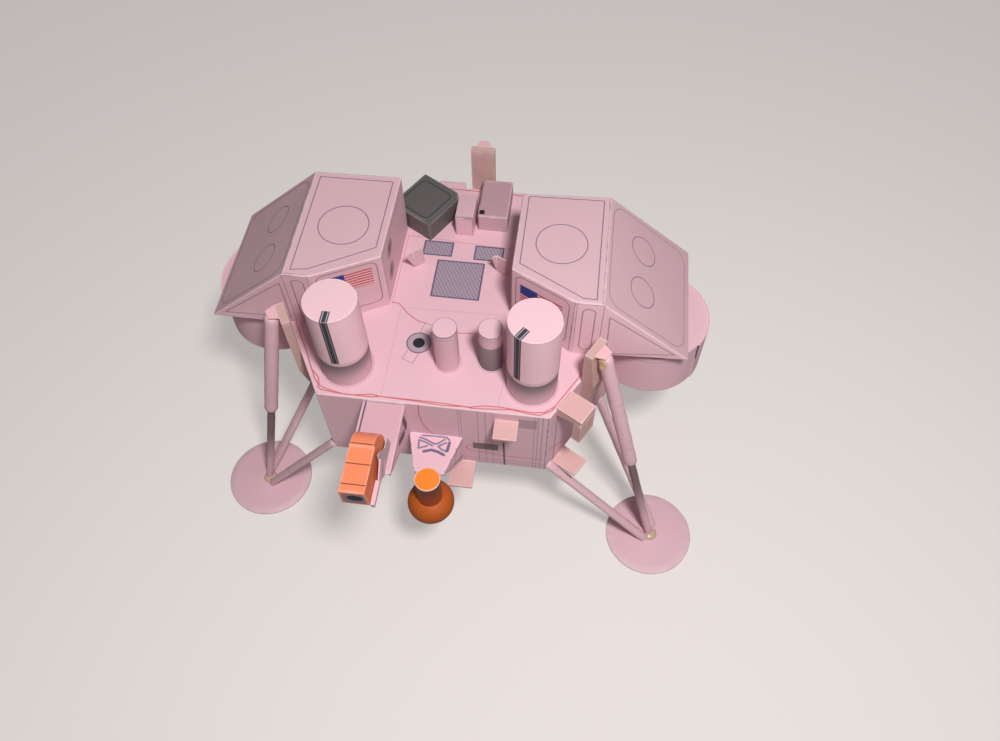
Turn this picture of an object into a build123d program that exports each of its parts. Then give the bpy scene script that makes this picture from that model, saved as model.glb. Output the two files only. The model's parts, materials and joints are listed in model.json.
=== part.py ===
"""Card model of a six-sided, three-legged mars lander, about 1:24, glued up from printed card.

Frame: origin on the ground under the middle of the model's outline, +X to the model's right,
+Y to its rear leg, +Z up. All lengths are in millimetres. Every piece is its own closed solid,
and touching pieces meet face to face without overlap.
"""
import math
import os
from build123d import *

os.makedirs("parts", exist_ok=True)

# ---------------------------------------------------------------- driving dimensions
CARD = 0.30                 # thickness of the card every box and tube is folded from

# six-sided body, long and short sides alternating
LONG_SIDE = 45.40
SHORT_SIDE = 23.30
REAR_SIDE_Y = 31.00         # rear short side, set a little nearer than the two others
DECK_TOP = 49.10
BODY_HEIGHT = 22.10

# equipment covers, a mirrored pair standing on the deck and hanging out over its sides
COVER_INNER_X = 12.60       # inner upright face
COVER_RIDGE_X = 30.45       # fold between the flat top and the sloping outer face
COVER_OUTER_X = 48.10       # foot of the sloping face
COVER_FRONT_Y = -10.20
COVER_BACK_Y = 17.20
COVER_HEIGHT = 15.30
COVER_BEVEL_X = 12.70       # front inner corner is cut off
COVER_BEVEL_Y = 6.50

# round fuel tanks under the covers' overhang
TANK_RADIUS = 11.40
TANK_AT = ((-39.40, 2.20), (41.95, 1.20))
TANK_HEIGHT = 11.30
TANK_TOP_GAP = 1.90         # below the deck's top

# two cylindrical cameras
CAMERA_X = (-18.00, 18.50)
CAMERA_Y = -19.25
CAMERA_BASE_RADIUS = 4.95
CAMERA_BASE_HEIGHT = 6.90
CAMERA_HEAD_RADIUS = 5.00
CAMERA_HEAD_HEIGHT = 14.10

# two small upright cylinders at the deck's front
INLET_RADIUS = 2.45
INLET_AT = ((1.50, -16.20, 11.70), (10.00, -15.00, 11.20))

# boxes on the rear of the deck
GREY_BOX_SIZE = (10.75, 11.20, 4.75)
GREY_BOX_GAPS = (0.10, 0.50)    # to the small white box and to the left cover's back corner
GREY_BOX_TURN = -31.0
GREY_BOX_CLIP = 1.40
SMALL_BOX_AT = (0.00, 20.50)
SMALL_BOX_SIZE = (3.90, 7.20, 5.30)
LARGE_BOX_AT = (5.90, 24.35)
LARGE_BOX_SIZE = (6.55, 11.00, 4.30)

# folded upright tabs on the deck: fold, far end of the main face, top corner of the wing
FLAP_HEIGHT = 4.90
FLAP_AT = (
    ((-9.25, 6.81), (-7.40, 8.25), (-10.60, 5.45)),
    ((8.20, 7.90), (10.20, 6.75), (7.30, 7.10)),
)

# leg brackets on the short sides
BRACKET_WIDTH = 5.20
BRACKET_DEPTH = 1.65
BRACKET_DROP = 14.00        # below the deck
LUG_REACH = 2.00
LUG_INNER_WIDTH = 3.60
LUG_OUTER_WIDTH = 2.00
LUG_STEP = 0.50             # lug plate below the bracket's top
LUG_THICKNESS = 0.30

# legs: name, direction of the outward normal, bracket's rise above the deck, its shift along
# the side, its depth at deck level, the lug's shift, pad centre, share of the leg that is the
# thicker tube, and for each side strut how far it starts in from the side's end and stands
# apart from the leg's own line at the pad
LEGS = (
    ("left", 210.0, 9.20, -2.35, 1.65, -3.30, (-44.10, -23.60), 0.525, ((7.00, 0.50), (0.60, 2.20))),
    ("right", 330.0, 9.20, 1.40, 2.80, 1.40, (48.17, -27.20), 0.545, ((1.00, 1.90), (2.40, 1.70))),
    ("rear", 90.0, 11.30, -2.30, 1.65, -2.30, (0.00, 54.50), 0.535, ((1.20, 1.70), (1.20, 1.70))),
)
STRUT_UPPER_RADIUS = 1.45
STRUT_LOWER_RADIUS = 0.90
STRUT_SINK = 0.35           # upper tube let into the bracket's face
SLEEVE = 6.00               # thin tube's run inside the thick one
SIDE_STRUT_RADIUS = 1.05
SIDE_STRUT_RISE = 1.30      # above the body's floor
PAD_RADIUS = 9.95
PAD_RIM = 0.60
PAD_RISE = 0.90

# descent engines, one on each long side
ENGINE_PLATE_DROP = 11.40   # below the deck
ENGINE_PLATE_REACH = 8.60
ENGINE_PLATE_INNER = 10.50
ENGINE_PLATE_OUTER = 4.70
ENGINE_FLANGE = 9.00
ENGINE_RADIUS = 2.60
ENGINE_AXIS = 10.30         # out from the wall
ENGINE_RISE = 0.70          # above its plate
ENGINE_LENGTH = 7.60
BULB_RADIUS = 4.85
BULB_HALF_HEIGHT = 3.60
FIN_TIP = 0.80              # height left at the outer end of every triangular flange

# soil sampler on its shelf at the deck's front edge
SHELF_INNER_X = -5.15
SHELF_WIDTH = 8.15
SHELF_REACH = 15.00
SHELF_FLANGE = 10.30
DRUM_RADIUS = 4.20
DRUM_REACH = 13.95          # drum axis out from the wall
SAMPLER_WIDTH = 5.20
SAMPLER_SIDE_GAP = 1.30     # from the shelf's right edge
BOOM_LENGTH = 9.10          # ahead of the drum's axis
BOOM_HEIGHT = 4.55
RAIL_THICKNESS = 0.60
RAIL_HEIGHT = 1.20
RAIL_TOP = 4.40             # above the shelf
POST_WIDTH = 1.20
POST_HEIGHT = 7.30

# small folded boxes and flaps on the walls
SHOULDER_AT = -7.00         # along the right short side
SHOULDER_WIDTH = 4.90
SHOULDER_REACH = 5.70
SHOULDER_RISE = 0.90
SHOULDER_PLATE = 1.60
SHOULDER_WEDGE = 1.00       # extra depth of its underside at the wall
SHOULDER_DROP = 7.70
SHOULDER_BOX = 1.80
WALL_FLAP_THICKNESS = 0.50
WALL_FLAP_X = 14.45
WALL_FLAP_SIZE = (4.60, 4.30)
WALL_FLAP_DROP = 2.40
FLOOR_FLAP_X = 5.35
FLOOR_FLAP_SIZE = (5.10, 6.20)
CORNER_FLAP_SIZE = (4.60, 5.80)
REAR_FLAP_X = -5.00
REAR_FLAP_SIZE = (6.10, 1.70, 0.60)

# ---------------------------------------------------------------- derived dimensions
ROOM = 3 * COVER_OUTER_X    # size of the cutting blocks, wider than the model
BODY_FLOOR = DECK_TOP - BODY_HEIGHT
LONG_APOTHEM = (LONG_SIDE + 2 * SHORT_SIDE) / (2 * math.sqrt(3))
SHORT_APOTHEM = (2 * LONG_SIDE + SHORT_SIDE) / (2 * math.sqrt(3))
REACH = {"left": SHORT_APOTHEM, "right": SHORT_APOTHEM, "rear": REAR_SIDE_Y}
SAMPLER_TIP_Y = -LONG_APOTHEM - DRUM_REACH - BOOM_LENGTH
SHIFT_X = -(LEGS[0][6][0] + LEGS[1][6][0]) / 2
SHIFT_Y = -(SAMPLER_TIP_Y + LEGS[2][6][1] + PAD_RADIUS) / 2
PLATE_TOP = DECK_TOP - ENGINE_PLATE_DROP


# ---------------------------------------------------------------- small helpers
def slab(points, z0, z1):
    """Upright prism on a plan outline between two heights."""
    face = make_face(Polyline(*points, close=True))
    return extrude(face, amount=z1 - z0).moved(Location((0, 0, z0)))


def side_prism(points, x0, x1):
    """Prism on an outline drawn in the Y-Z plane, running along X."""
    face = make_face(Polyline(*[(0, y, z) for y, z in points], close=True))
    return extrude(face, amount=x1 - x0, dir=(1, 0, 0)).moved(Location((x0, 0, 0)))


def inset(points, amount):
    """Outline with every edge moved inwards by the same distance (outline runs anticlockwise)."""
    moved = []
    count = len(points)
    for i in range(count):
        ax, ay = points[i - 1]
        bx, by = points[i]
        cx, cy = points[(i + 1) % count]
        ux, uy = bx - ax, by - ay
        vx, vy = cx - bx, cy - by
        lu, lv = math.hypot(ux, uy), math.hypot(vx, vy)
        nux, nuy = -uy / lu, ux / lu
        nvx, nvy = -vy / lv, vx / lv
        k = amount / (1 + nux * nvx + nuy * nvy)
        moved.append((bx + k * (nux + nvx), by + k * (nuy + nvy)))
    return moved


def rectangle(cx, cy, sx, sy):
    """Corner points of a rectangle, anticlockwise."""
    hx, hy = sx / 2, sy / 2
    return [(cx - hx, cy - hy), (cx + hx, cy - hy), (cx + hx, cy + hy), (cx - hx, cy + hy)]


def hexagon(grow):
    """Body outline; grow moves every side outwards."""
    long_a = LONG_APOTHEM + grow
    short_a = SHORT_APOTHEM + grow
    rear_a = REAR_SIDE_Y + grow
    sides = [(270, long_a), (330, short_a), (30, long_a), (90, rear_a), (150, long_a), (210, short_a)]
    points = []
    for i in range(6):
        a0, d0 = math.radians(sides[i - 1][0]), sides[i - 1][1]
        a1, d1 = math.radians(sides[i][0]), sides[i][1]
        det = math.cos(a0) * math.sin(a1) - math.sin(a0) * math.cos(a1)
        x = (d0 * math.sin(a1) - d1 * math.sin(a0)) / det
        y = (math.cos(a0) * d1 - math.cos(a1) * d0) / det
        points.append((x, y))
    return points


def drum(radius, x, y, z0, z1):
    """Upright solid cylinder."""
    return Cylinder(radius, z1 - z0).moved(Location((x, y, (z0 + z1) / 2)))


def closed_drum(radius, x, y, z0, z1):
    """Upright closed tin of card thickness."""
    return drum(radius, x, y, z0, z1) - drum(radius - CARD, x, y, z0 + CARD, z1 - CARD)


def closed_box(points, z0, z1):
    """Closed upright box of card thickness on a plan outline."""
    return slab(points, z0, z1) - slab(inset(points, CARD), z0 + CARD, z1 - CARD)


def rod(radius, start, end):
    """Round solid between two points."""
    a, b = Vector(*start), Vector(*end)
    middle = (a + b) / 2
    plane = Plane(origin=(middle.X, middle.Y, middle.Z), z_dir=(b - a).normalized())
    return plane * Cylinder(radius, (b - a).length)


def on_side(angle, apothem, out, along, z):
    """Point given by its distance out from a side's face and its shift along that side."""
    a = math.radians(angle)
    r = apothem + out
    return (r * math.cos(a) - along * math.sin(a), r * math.sin(a) + along * math.cos(a), z)


def turned(shape, angle):
    """Turn a shape built on the front side (direction 270) to another side."""
    return shape.rotate(Axis.Z, angle - 270.0)


def block(x0, x1, y0, y1, z0, z1):
    """Solid block between limits."""
    return slab([(x0, y0), (x1, y0), (x1, y1), (x0, y1)], z0, z1)


# ---------------------------------------------------------------- body
def body_deck():
    """Top panel of the body."""
    return slab(hexagon(0), DECK_TOP - CARD, DECK_TOP)


def body_floor():
    """Bottom panel of the body."""
    return slab(hexagon(0), BODY_FLOOR, BODY_FLOOR + CARD)


def body_walls():
    """Folded band of six walls between the two panels."""
    z0, z1 = BODY_FLOOR + CARD, DECK_TOP - CARD
    return slab(hexagon(0), z0, z1) - slab(hexagon(-CARD), z0, z1)


# ---------------------------------------------------------------- covers and tanks
def cover_outline():
    """Plan outline of the right-hand cover."""
    return [
        (COVER_INNER_X + COVER_BEVEL_X, COVER_FRONT_Y),
        (COVER_OUTER_X, COVER_FRONT_Y),
        (COVER_OUTER_X, COVER_BACK_Y),
        (COVER_INNER_X, COVER_BACK_Y),
        (COVER_INNER_X, COVER_FRONT_Y + COVER_BEVEL_Y),
    ]


def cover_section():
    """Section of the right-hand cover across its length, as x and z."""
    top = DECK_TOP + COVER_HEIGHT
    return [
        (COVER_INNER_X, DECK_TOP),
        (COVER_OUTER_X, DECK_TOP),
        (COVER_RIDGE_X, top),
        (COVER_INNER_X, top),
    ]


def section_prism(points, y0, y1):
    """Prism on an outline drawn in the X-Z plane, running along Y."""
    face = make_face(Polyline(*[(x, 0, z) for x, z in points], close=True))
    return extrude(face, amount=y1 - y0, dir=(0, 1, 0)).moved(Location((0, y0, 0)))


def cover_right():
    """Closed cover box: flat top, sloping outer face, cut front inner corner."""
    plan, cut = cover_outline(), cover_section()
    top = DECK_TOP + COVER_HEIGHT
    long0, long1 = COVER_FRONT_Y - 1, COVER_BACK_Y + 1
    outer = slab(plan, DECK_TOP, top) & section_prism(cut, long0, long1)
    inner = slab(inset(plan, CARD), DECK_TOP, top) & section_prism(inset(cut, CARD), long0, long1)
    return outer - inner


def tank(x, y):
    """Round tin glued against the body's side corner."""
    z1 = DECK_TOP - TANK_TOP_GAP
    z0 = z1 - TANK_HEIGHT
    outer = drum(TANK_RADIUS, x, y, z0, z1) - slab(hexagon(0), z0 - 1, z1 + 1)
    inner = drum(TANK_RADIUS - CARD, x, y, z0 + CARD, z1 - CARD)
    inner = inner - slab(hexagon(CARD), z0 - 1, z1 + 1)
    return outer - inner


# ---------------------------------------------------------------- deck equipment
def camera_base(x):
    """Open tube under a camera head."""
    z1 = DECK_TOP + CAMERA_BASE_HEIGHT
    tube = drum(CAMERA_BASE_RADIUS, x, CAMERA_Y, DECK_TOP, z1)
    return tube - drum(CAMERA_BASE_RADIUS - CARD, x, CAMERA_Y, DECK_TOP, z1)


def camera_head(x):
    """Closed camera cylinder on its base."""
    z0 = DECK_TOP + CAMERA_BASE_HEIGHT
    return closed_drum(CAMERA_HEAD_RADIUS, x, CAMERA_Y, z0, z0 + CAMERA_HEAD_HEIGHT)


def grey_box_outline():
    """Turned square with its right-hand corner clipped. It stands clear of the small white box
    on its right and of the left cover's back inner corner."""
    h, k = GREY_BOX_SIZE[0] / 2, GREY_BOX_SIZE[1] / 2
    c = GREY_BOX_CLIP
    square = [(-h, -k), (h, -k), (h, k - c), (h - c, k), (-h, k)]
    a = math.radians(GREY_BOX_TURN)
    square = [(x * math.cos(a) - y * math.sin(a), x * math.sin(a) + y * math.cos(a)) for x, y in square]
    box_gap, cover_gap = GREY_BOX_GAPS
    gx = SMALL_BOX_AT[0] - SMALL_BOX_SIZE[0] / 2 - box_gap - max(x for x, y in square)
    corner_x, corner_y = -COVER_INNER_X, COVER_BACK_Y
    gy = corner_y + (k + cover_gap - (corner_x - gx) * math.sin(a)) / math.cos(a)
    return [(gx + x, gy + y) for x, y in square]


def deck_flap(fold, end, wing):
    """Card tab standing on its edge, with a triangular wing beyond its upright fold."""
    top = DECK_TOP + FLAP_HEIGHT
    ux, uy = end[0] - fold[0], end[1] - fold[1]
    half = CARD / 2 / math.hypot(ux, uy)
    nx, ny = -uy * half, ux * half
    corners = [
        (fold[0] - nx, fold[1] - ny),
        (end[0] - nx, end[1] - ny),
        (end[0] + nx, end[1] + ny),
        (fold[0] + nx, fold[1] + ny),
    ]
    side = make_face(Polyline((*fold, DECK_TOP), (*fold, top), (*wing, top), close=True))
    return slab(corners, DECK_TOP, top) + extrude(side, amount=CARD / 2, both=True)


# ---------------------------------------------------------------- legs
def bracket_section(leg, depth_in):
    """Bracket's side outline on the front side, as y and z, shrunk by depth_in."""
    name, angle, rise, shift, foot = leg[:5]
    face = -REACH[name]
    outline = [
        (face, DECK_TOP + rise),
        (face - BRACKET_DEPTH, DECK_TOP + rise),
        (face - foot, DECK_TOP),
        (face - BRACKET_DEPTH, DECK_TOP - BRACKET_DROP / 2),
        (face, DECK_TOP - BRACKET_DROP),
    ]
    return inset(outline, depth_in) if depth_in else outline


def bracket_solid(leg):
    """Outer body of a bracket, built on the front side."""
    half = BRACKET_WIDTH / 2
    return side_prism(bracket_section(leg, 0), leg[3] - half, leg[3] + half)


def leg_bracket(leg):
    """Folded bracket on a short side with the pointed lug plate at its top."""
    name, angle, rise, shift, foot, lug_shift = leg[:6]
    half = BRACKET_WIDTH / 2 - CARD
    shell = bracket_solid(leg) - side_prism(bracket_section(leg, CARD), shift - half, shift + half)
    top = DECK_TOP + rise - LUG_STEP
    face = -REACH[name] - BRACKET_DEPTH
    wide, narrow = LUG_INNER_WIDTH / 2, LUG_OUTER_WIDTH / 2
    lug = slab(
        [
            (lug_shift - narrow, face - LUG_REACH),
            (lug_shift + narrow, face - LUG_REACH),
            (lug_shift + wide, face + CARD / 2),
            (lug_shift - wide, face + CARD / 2),
        ],
        top - LUG_THICKNESS,
        top,
    )
    return turned(shell + lug, angle)


def strut_line(leg):
    """Top, changeover and foot points of a leg's main strut."""
    name, angle, rise, shift, depth, lug_shift, pad, share, ends = leg
    out = BRACKET_DEPTH + STRUT_UPPER_RADIUS - STRUT_SINK
    top_z = DECK_TOP + rise - LUG_STEP - LUG_THICKNESS
    top = on_side(angle, REACH[name], out, lug_shift, top_z)
    foot = (pad[0], pad[1], PAD_RIM)
    split = tuple(top[i] + (foot[i] - top[i]) * share for i in range(3))
    return top, split, foot


def beyond(start, end, extra):
    """Point past end on the line from start."""
    a, b = Vector(*start), Vector(*end)
    tip = b + (b - a).normalized() * extra
    return (tip.X, tip.Y, tip.Z)


def strut_upper(leg):
    """Thick rolled tube from the lug to the changeover."""
    top, split, foot = strut_line(leg)
    start = beyond(split, top, 3.0)
    tube = rod(STRUT_UPPER_RADIUS, start, split) - rod(STRUT_LOWER_RADIUS, start, split)
    ceiling = block(-ROOM, ROOM, -ROOM, ROOM, top[2], top[2] + ROOM)
    return tube - ceiling - turned(bracket_solid(leg), leg[1])


def strut_lower(leg):
    """Thin tube sliding out of the thick one and down to the pad."""
    top, split, foot = strut_line(leg)
    tube = rod(STRUT_LOWER_RADIUS, beyond(foot, split, SLEEVE), beyond(split, foot, 2.0))
    return tube - foot_pad(leg[6]) - block(-ROOM, ROOM, -ROOM, ROOM, -ROOM, PAD_RIM)


def side_strut(leg, hand, blockers):
    """Thin rod from the body's lower edge to the pad; hand is -1 or +1 along the side."""
    name, angle = leg[:2]
    pad, ends = leg[6], leg[8]
    inset, spread = ends[0 if hand < 0 else 1]
    along = hand * (SHORT_SIDE / 2 - inset)
    corner = on_side(angle, REACH[name], 0, along, BODY_FLOOR + SIDE_STRUT_RISE)
    a = math.radians(angle)
    foot = (
        pad[0] - hand * spread * math.sin(a),
        pad[1] + hand * spread * math.cos(a),
        PAD_RIM,
    )
    bar = rod(SIDE_STRUT_RADIUS, beyond(foot, corner, 3.0), beyond(corner, foot, 2.0))
    bar = bar - slab(hexagon(0), BODY_FLOOR - SIDE_STRUT_RISE * 6, DECK_TOP)
    bar = bar - foot_pad(pad) - block(-ROOM, ROOM, -ROOM, ROOM, -ROOM, PAD_RIM)
    for other in blockers:
        bar = bar - other
    return bar


def foot_pad(pad):
    """Round foot: flat underside, thin rim and a shallow cone on top."""
    outline = [(0, 0), (PAD_RADIUS, 0), (PAD_RADIUS, PAD_RIM), (0, PAD_RIM + PAD_RISE)]
    face = make_face(Polyline(*[(x, 0, z) for x, z in outline], close=True))
    return revolve(face, Axis.Z, 360).moved(Location((pad[0], pad[1], 0)))


# ---------------------------------------------------------------- engines
def engine_cylinder_solid():
    """Outer body of an engine's upper cylinder, on the front side."""
    top = PLATE_TOP + ENGINE_RISE
    return drum(ENGINE_RADIUS, 0, -LONG_APOTHEM - ENGINE_AXIS, top - ENGINE_LENGTH, top)


def engine_bracket(angle):
    """Level plate narrowing outwards with a triangular flange folded down at each edge."""
    wall = -LONG_APOTHEM
    inner, outer = ENGINE_PLATE_INNER / 2, ENGINE_PLATE_OUTER / 2
    end = wall - ENGINE_PLATE_REACH
    plate = slab([(-outer, end), (outer, end), (inner, wall), (-inner, wall)], PLATE_TOP - CARD, PLATE_TOP)
    result = plate
    for hand in (-1, 1):
        strip = [
            (hand * outer, end),
            (hand * inner, wall),
            (hand * (inner - CARD), wall),
            (hand * (outer - CARD), end),
        ]
        fin = slab(strip, PLATE_TOP - ENGINE_FLANGE, PLATE_TOP)
        slope = side_prism(
            [(wall, PLATE_TOP - ENGINE_FLANGE), (wall, PLATE_TOP), (end, PLATE_TOP), (end, PLATE_TOP - FIN_TIP)],
            -inner - 1,
            inner + 1,
        )
        result = result + (fin & slope)
    return turned(result - engine_cylinder_solid(), angle)


def engine_body(angle):
    """Closed upper cylinder of an engine."""
    top = PLATE_TOP + ENGINE_RISE
    shell = closed_drum(ENGINE_RADIUS, 0, -LONG_APOTHEM - ENGINE_AXIS, top - ENGINE_LENGTH, top)
    return turned(shell - bulb(0), angle)


def bulb(shrink):
    """Flattened ball on the front side whose outer surface meets the cylinder's lower rim."""
    drop = BULB_HALF_HEIGHT * math.sqrt(1 - (ENGINE_RADIUS / BULB_RADIUS) ** 2)
    z = PLATE_TOP + ENGINE_RISE - ENGINE_LENGTH - drop
    wide, half = BULB_RADIUS - shrink, BULB_HALF_HEIGHT - shrink
    ball = scale(Sphere(wide), by=(1, 1, half / wide))
    return ball.moved(Location((0, -LONG_APOTHEM - ENGINE_AXIS, z)))


def engine_bulb(angle):
    """Hollow flattened ball under an engine's cylinder."""
    return turned(bulb(0) - bulb(2 * CARD), angle)


# ---------------------------------------------------------------- soil sampler
def sampler_shelf():
    """Shelf level with the deck, with a triangular flange under each long edge."""
    wall = -LONG_APOTHEM
    x1 = SHELF_INNER_X
    x0 = x1 - SHELF_WIDTH
    end = wall - SHELF_REACH
    shelf = block(x0, x1, end, wall, DECK_TOP - CARD, DECK_TOP)
    section = [(wall, DECK_TOP - SHELF_FLANGE), (wall, DECK_TOP), (end, DECK_TOP), (end, DECK_TOP - FIN_TIP)]
    left = side_prism(section, x0, x0 + CARD)
    right = side_prism(section, x1 - CARD, x1)
    return shelf + left + right


def sampler_section():
    """Side outline of drum and boom as a face in the Y-Z plane."""
    y = -LONG_APOTHEM - DRUM_REACH
    z = DECK_TOP + DRUM_RADIUS
    top = z + DRUM_RADIUS
    boom = [(y, top - BOOM_HEIGHT), (y, top), (y - BOOM_LENGTH, top), (y - BOOM_LENGTH, top - BOOM_HEIGHT)]
    return y, z, boom


def sampler_solid(cut):
    """Drum with the boom box running forward from its top, shrunk all round by cut."""
    x1 = SHELF_INNER_X - SAMPLER_SIDE_GAP - cut
    x0 = SHELF_INNER_X - SAMPLER_SIDE_GAP - SAMPLER_WIDTH + cut
    y, z, boom = sampler_section()
    round_part = Cylinder(DRUM_RADIUS - cut, x1 - x0, rotation=(0, 90, 0))
    round_part = round_part.moved(Location(((x0 + x1) / 2, y, z)))
    top = boom[1][1] - cut
    low = boom[0][1] + cut
    box = block(x0, x1, y - BOOM_LENGTH + cut, y, low, top)
    return round_part + box


def sampler_boom():
    """Hollow drum and boom."""
    return sampler_solid(0) - sampler_solid(CARD)


def sampler_rail():
    """Card post beside the drum at the shelf's end, with a strip running forward from it."""
    x0 = SHELF_INNER_X - SAMPLER_SIDE_GAP
    tip = SAMPLER_TIP_Y
    end = -LONG_APOTHEM - SHELF_REACH
    back = end + POST_WIDTH
    high, low = DECK_TOP + RAIL_TOP, DECK_TOP + RAIL_TOP - RAIL_HEIGHT
    top = DECK_TOP + POST_HEIGHT
    outline = [
        (back, DECK_TOP),
        (back, top),
        (end, top),
        (end, high),
        (tip, high),
        (tip, low),
        (end, low),
        (end, DECK_TOP),
    ]
    return side_prism(outline, x0, x0 + RAIL_THICKNESS)


# ---------------------------------------------------------------- small boxes and flaps
def shoulder_box():
    """Folded box hooked over the right short side beside the bracket."""
    wall = -SHORT_APOTHEM
    top = DECK_TOP + SHOULDER_RISE
    end = wall - SHOULDER_REACH
    outline = [
        (wall, top),
        (end, top),
        (end, top - SHOULDER_DROP),
        (end + SHOULDER_BOX, top - SHOULDER_DROP),
        (end + SHOULDER_BOX, top - SHOULDER_PLATE),
        (wall, top - SHOULDER_PLATE - SHOULDER_WEDGE),
    ]
    half = SHOULDER_WIDTH / 2
    return turned(side_prism(outline, SHOULDER_AT - half, SHOULDER_AT + half), 330.0)


def wall_flap():
    """Level card flap high on the front wall."""
    x, (wide, deep) = WALL_FLAP_X, WALL_FLAP_SIZE
    top = DECK_TOP - WALL_FLAP_DROP
    wall = -LONG_APOTHEM
    return block(x - wide / 2, x + wide / 2, wall - deep, wall, top - WALL_FLAP_THICKNESS, top)


def floor_flap():
    """Level card flap at the front wall's foot."""
    x, (wide, deep) = FLOOR_FLAP_X, FLOOR_FLAP_SIZE
    wall = -LONG_APOTHEM
    return block(x - wide / 2, x + wide / 2, wall - deep, wall, BODY_FLOOR, BODY_FLOOR + WALL_FLAP_THICKNESS)


def corner_flap():
    """Level card flap at the foot of the right short side."""
    wide, deep = CORNER_FLAP_SIZE
    wall = -SHORT_APOTHEM
    x = SHOULDER_AT
    flap = block(x - wide / 2, x + wide / 2, wall - deep, wall, BODY_FLOOR, BODY_FLOOR + WALL_FLAP_THICKNESS)
    return turned(flap, 330.0)


def rear_flap():
    """Narrow card tab folded out level with the deck's rear edge."""
    wide, deep, thick = REAR_FLAP_SIZE
    x = REAR_FLAP_X
    return block(x - wide / 2, x + wide / 2, REAR_SIDE_Y, REAR_SIDE_Y + deep, DECK_TOP - thick, DECK_TOP)


# ---------------------------------------------------------------- collect every piece
pieces = {
    "deck": body_deck(),
    "body_walls": body_walls(),
    "body_floor": body_floor(),
    "cover_right": cover_right(),
    "cover_left": mirror(cover_right(), about=Plane.YZ),
    "tank_left": tank(*TANK_AT[0]),
    "tank_right": tank(*TANK_AT[1]),
    "grey_box": closed_box(grey_box_outline(), DECK_TOP, DECK_TOP + GREY_BOX_SIZE[2]),
    "sampler_shelf": sampler_shelf(),
    "sampler_boom": sampler_boom(),
    "sampler_rail": sampler_rail(),
    "shoulder_box": shoulder_box(),
    "wall_flap": wall_flap(),
    "floor_flap": floor_flap(),
    "rear_flap": rear_flap(),
}
for name, at, size in (("small", SMALL_BOX_AT, SMALL_BOX_SIZE), ("large", LARGE_BOX_AT, LARGE_BOX_SIZE)):
    outline = rectangle(at[0], at[1], size[0], size[1])
    pieces["white_box_" + name] = closed_box(outline, DECK_TOP, DECK_TOP + size[2])
for name, x in zip(("left", "right"), CAMERA_X):
    pieces["camera_base_" + name] = camera_base(x)
    pieces["camera_head_" + name] = camera_head(x)
for number, (x, y, height) in enumerate(INLET_AT, start=1):
    pieces[f"inlet_{number}"] = closed_drum(INLET_RADIUS, x, y, DECK_TOP, DECK_TOP + height)
for number, (fold, end, wing) in enumerate(FLAP_AT, start=1):
    pieces[f"deck_flap_{number}"] = deck_flap(fold, end, wing)
for name, angle in (("front", 270.0), ("right", 30.0), ("left", 150.0)):
    pieces["engine_bracket_" + name] = engine_bracket(angle)
    pieces["engine_body_" + name] = engine_body(angle)
    pieces["engine_bulb_" + name] = engine_bulb(angle)
for leg in LEGS:
    name = leg[0]
    lower = strut_lower(leg)
    first = side_strut(leg, -1, [lower])
    second = side_strut(leg, 1, [lower, first])
    pieces["leg_bracket_" + name] = leg_bracket(leg)
    pieces["strut_upper_" + name] = strut_upper(leg)
    pieces["strut_lower_" + name] = lower
    pieces["side_strut_" + name + "_a"] = first
    pieces["side_strut_" + name + "_b"] = second
    pieces["foot_pad_" + name] = foot_pad(leg[6])
pieces["corner_flap"] = corner_flap() - pieces["side_strut_right_a"]

for name, shape in pieces.items():
    placed = shape.moved(Location((SHIFT_X, SHIFT_Y, 0)))
    export_step(placed, f"parts/{name}.step")
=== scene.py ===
import json
import math

import bmesh
import bpy
import numpy as np
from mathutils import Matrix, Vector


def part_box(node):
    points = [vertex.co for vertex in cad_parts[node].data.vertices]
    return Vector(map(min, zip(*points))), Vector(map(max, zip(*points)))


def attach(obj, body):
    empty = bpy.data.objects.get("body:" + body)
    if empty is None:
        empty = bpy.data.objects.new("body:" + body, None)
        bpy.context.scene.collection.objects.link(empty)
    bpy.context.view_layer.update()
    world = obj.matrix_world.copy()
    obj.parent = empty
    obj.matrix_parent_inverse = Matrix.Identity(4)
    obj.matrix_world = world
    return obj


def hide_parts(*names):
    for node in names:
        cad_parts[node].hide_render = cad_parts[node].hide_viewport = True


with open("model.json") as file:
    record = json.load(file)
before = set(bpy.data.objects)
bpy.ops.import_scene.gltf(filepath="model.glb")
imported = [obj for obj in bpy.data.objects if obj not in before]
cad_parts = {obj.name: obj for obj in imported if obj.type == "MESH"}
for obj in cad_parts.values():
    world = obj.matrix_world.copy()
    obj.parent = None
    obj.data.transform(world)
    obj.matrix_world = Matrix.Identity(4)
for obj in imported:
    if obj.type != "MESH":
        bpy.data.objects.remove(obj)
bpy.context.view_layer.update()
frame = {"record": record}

# Stage: a plain pale floor, one round soft lamp above the front right, and pale surroundings.
# The camera looks down on the model's front from about a model's length above its top.
MM = 0.001
FRONT = 26.558  # from the body's centre line to its front side
deck_low, deck_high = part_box("deck")
# the foot of the body's upright centre line
home = np.array([(deck_low.x + deck_high.x) / 2, deck_low.y + FRONT * MM, 0.0])

scene = bpy.context.scene
camera_data = bpy.data.cameras.new("camera")
camera_data.lens, camera_data.sensor_width, camera_data.clip_start = 30.08, 36, 0.005
camera = bpy.data.objects.new("camera", camera_data)
camera.location = home + np.array([0.023266, -0.104196, 0.187565])
camera.rotation_euler = (0.565949, 0.003933, 0.122711)
scene.collection.objects.link(camera)
scene.camera = camera
scene.view_settings.view_transform = "Standard"

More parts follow.
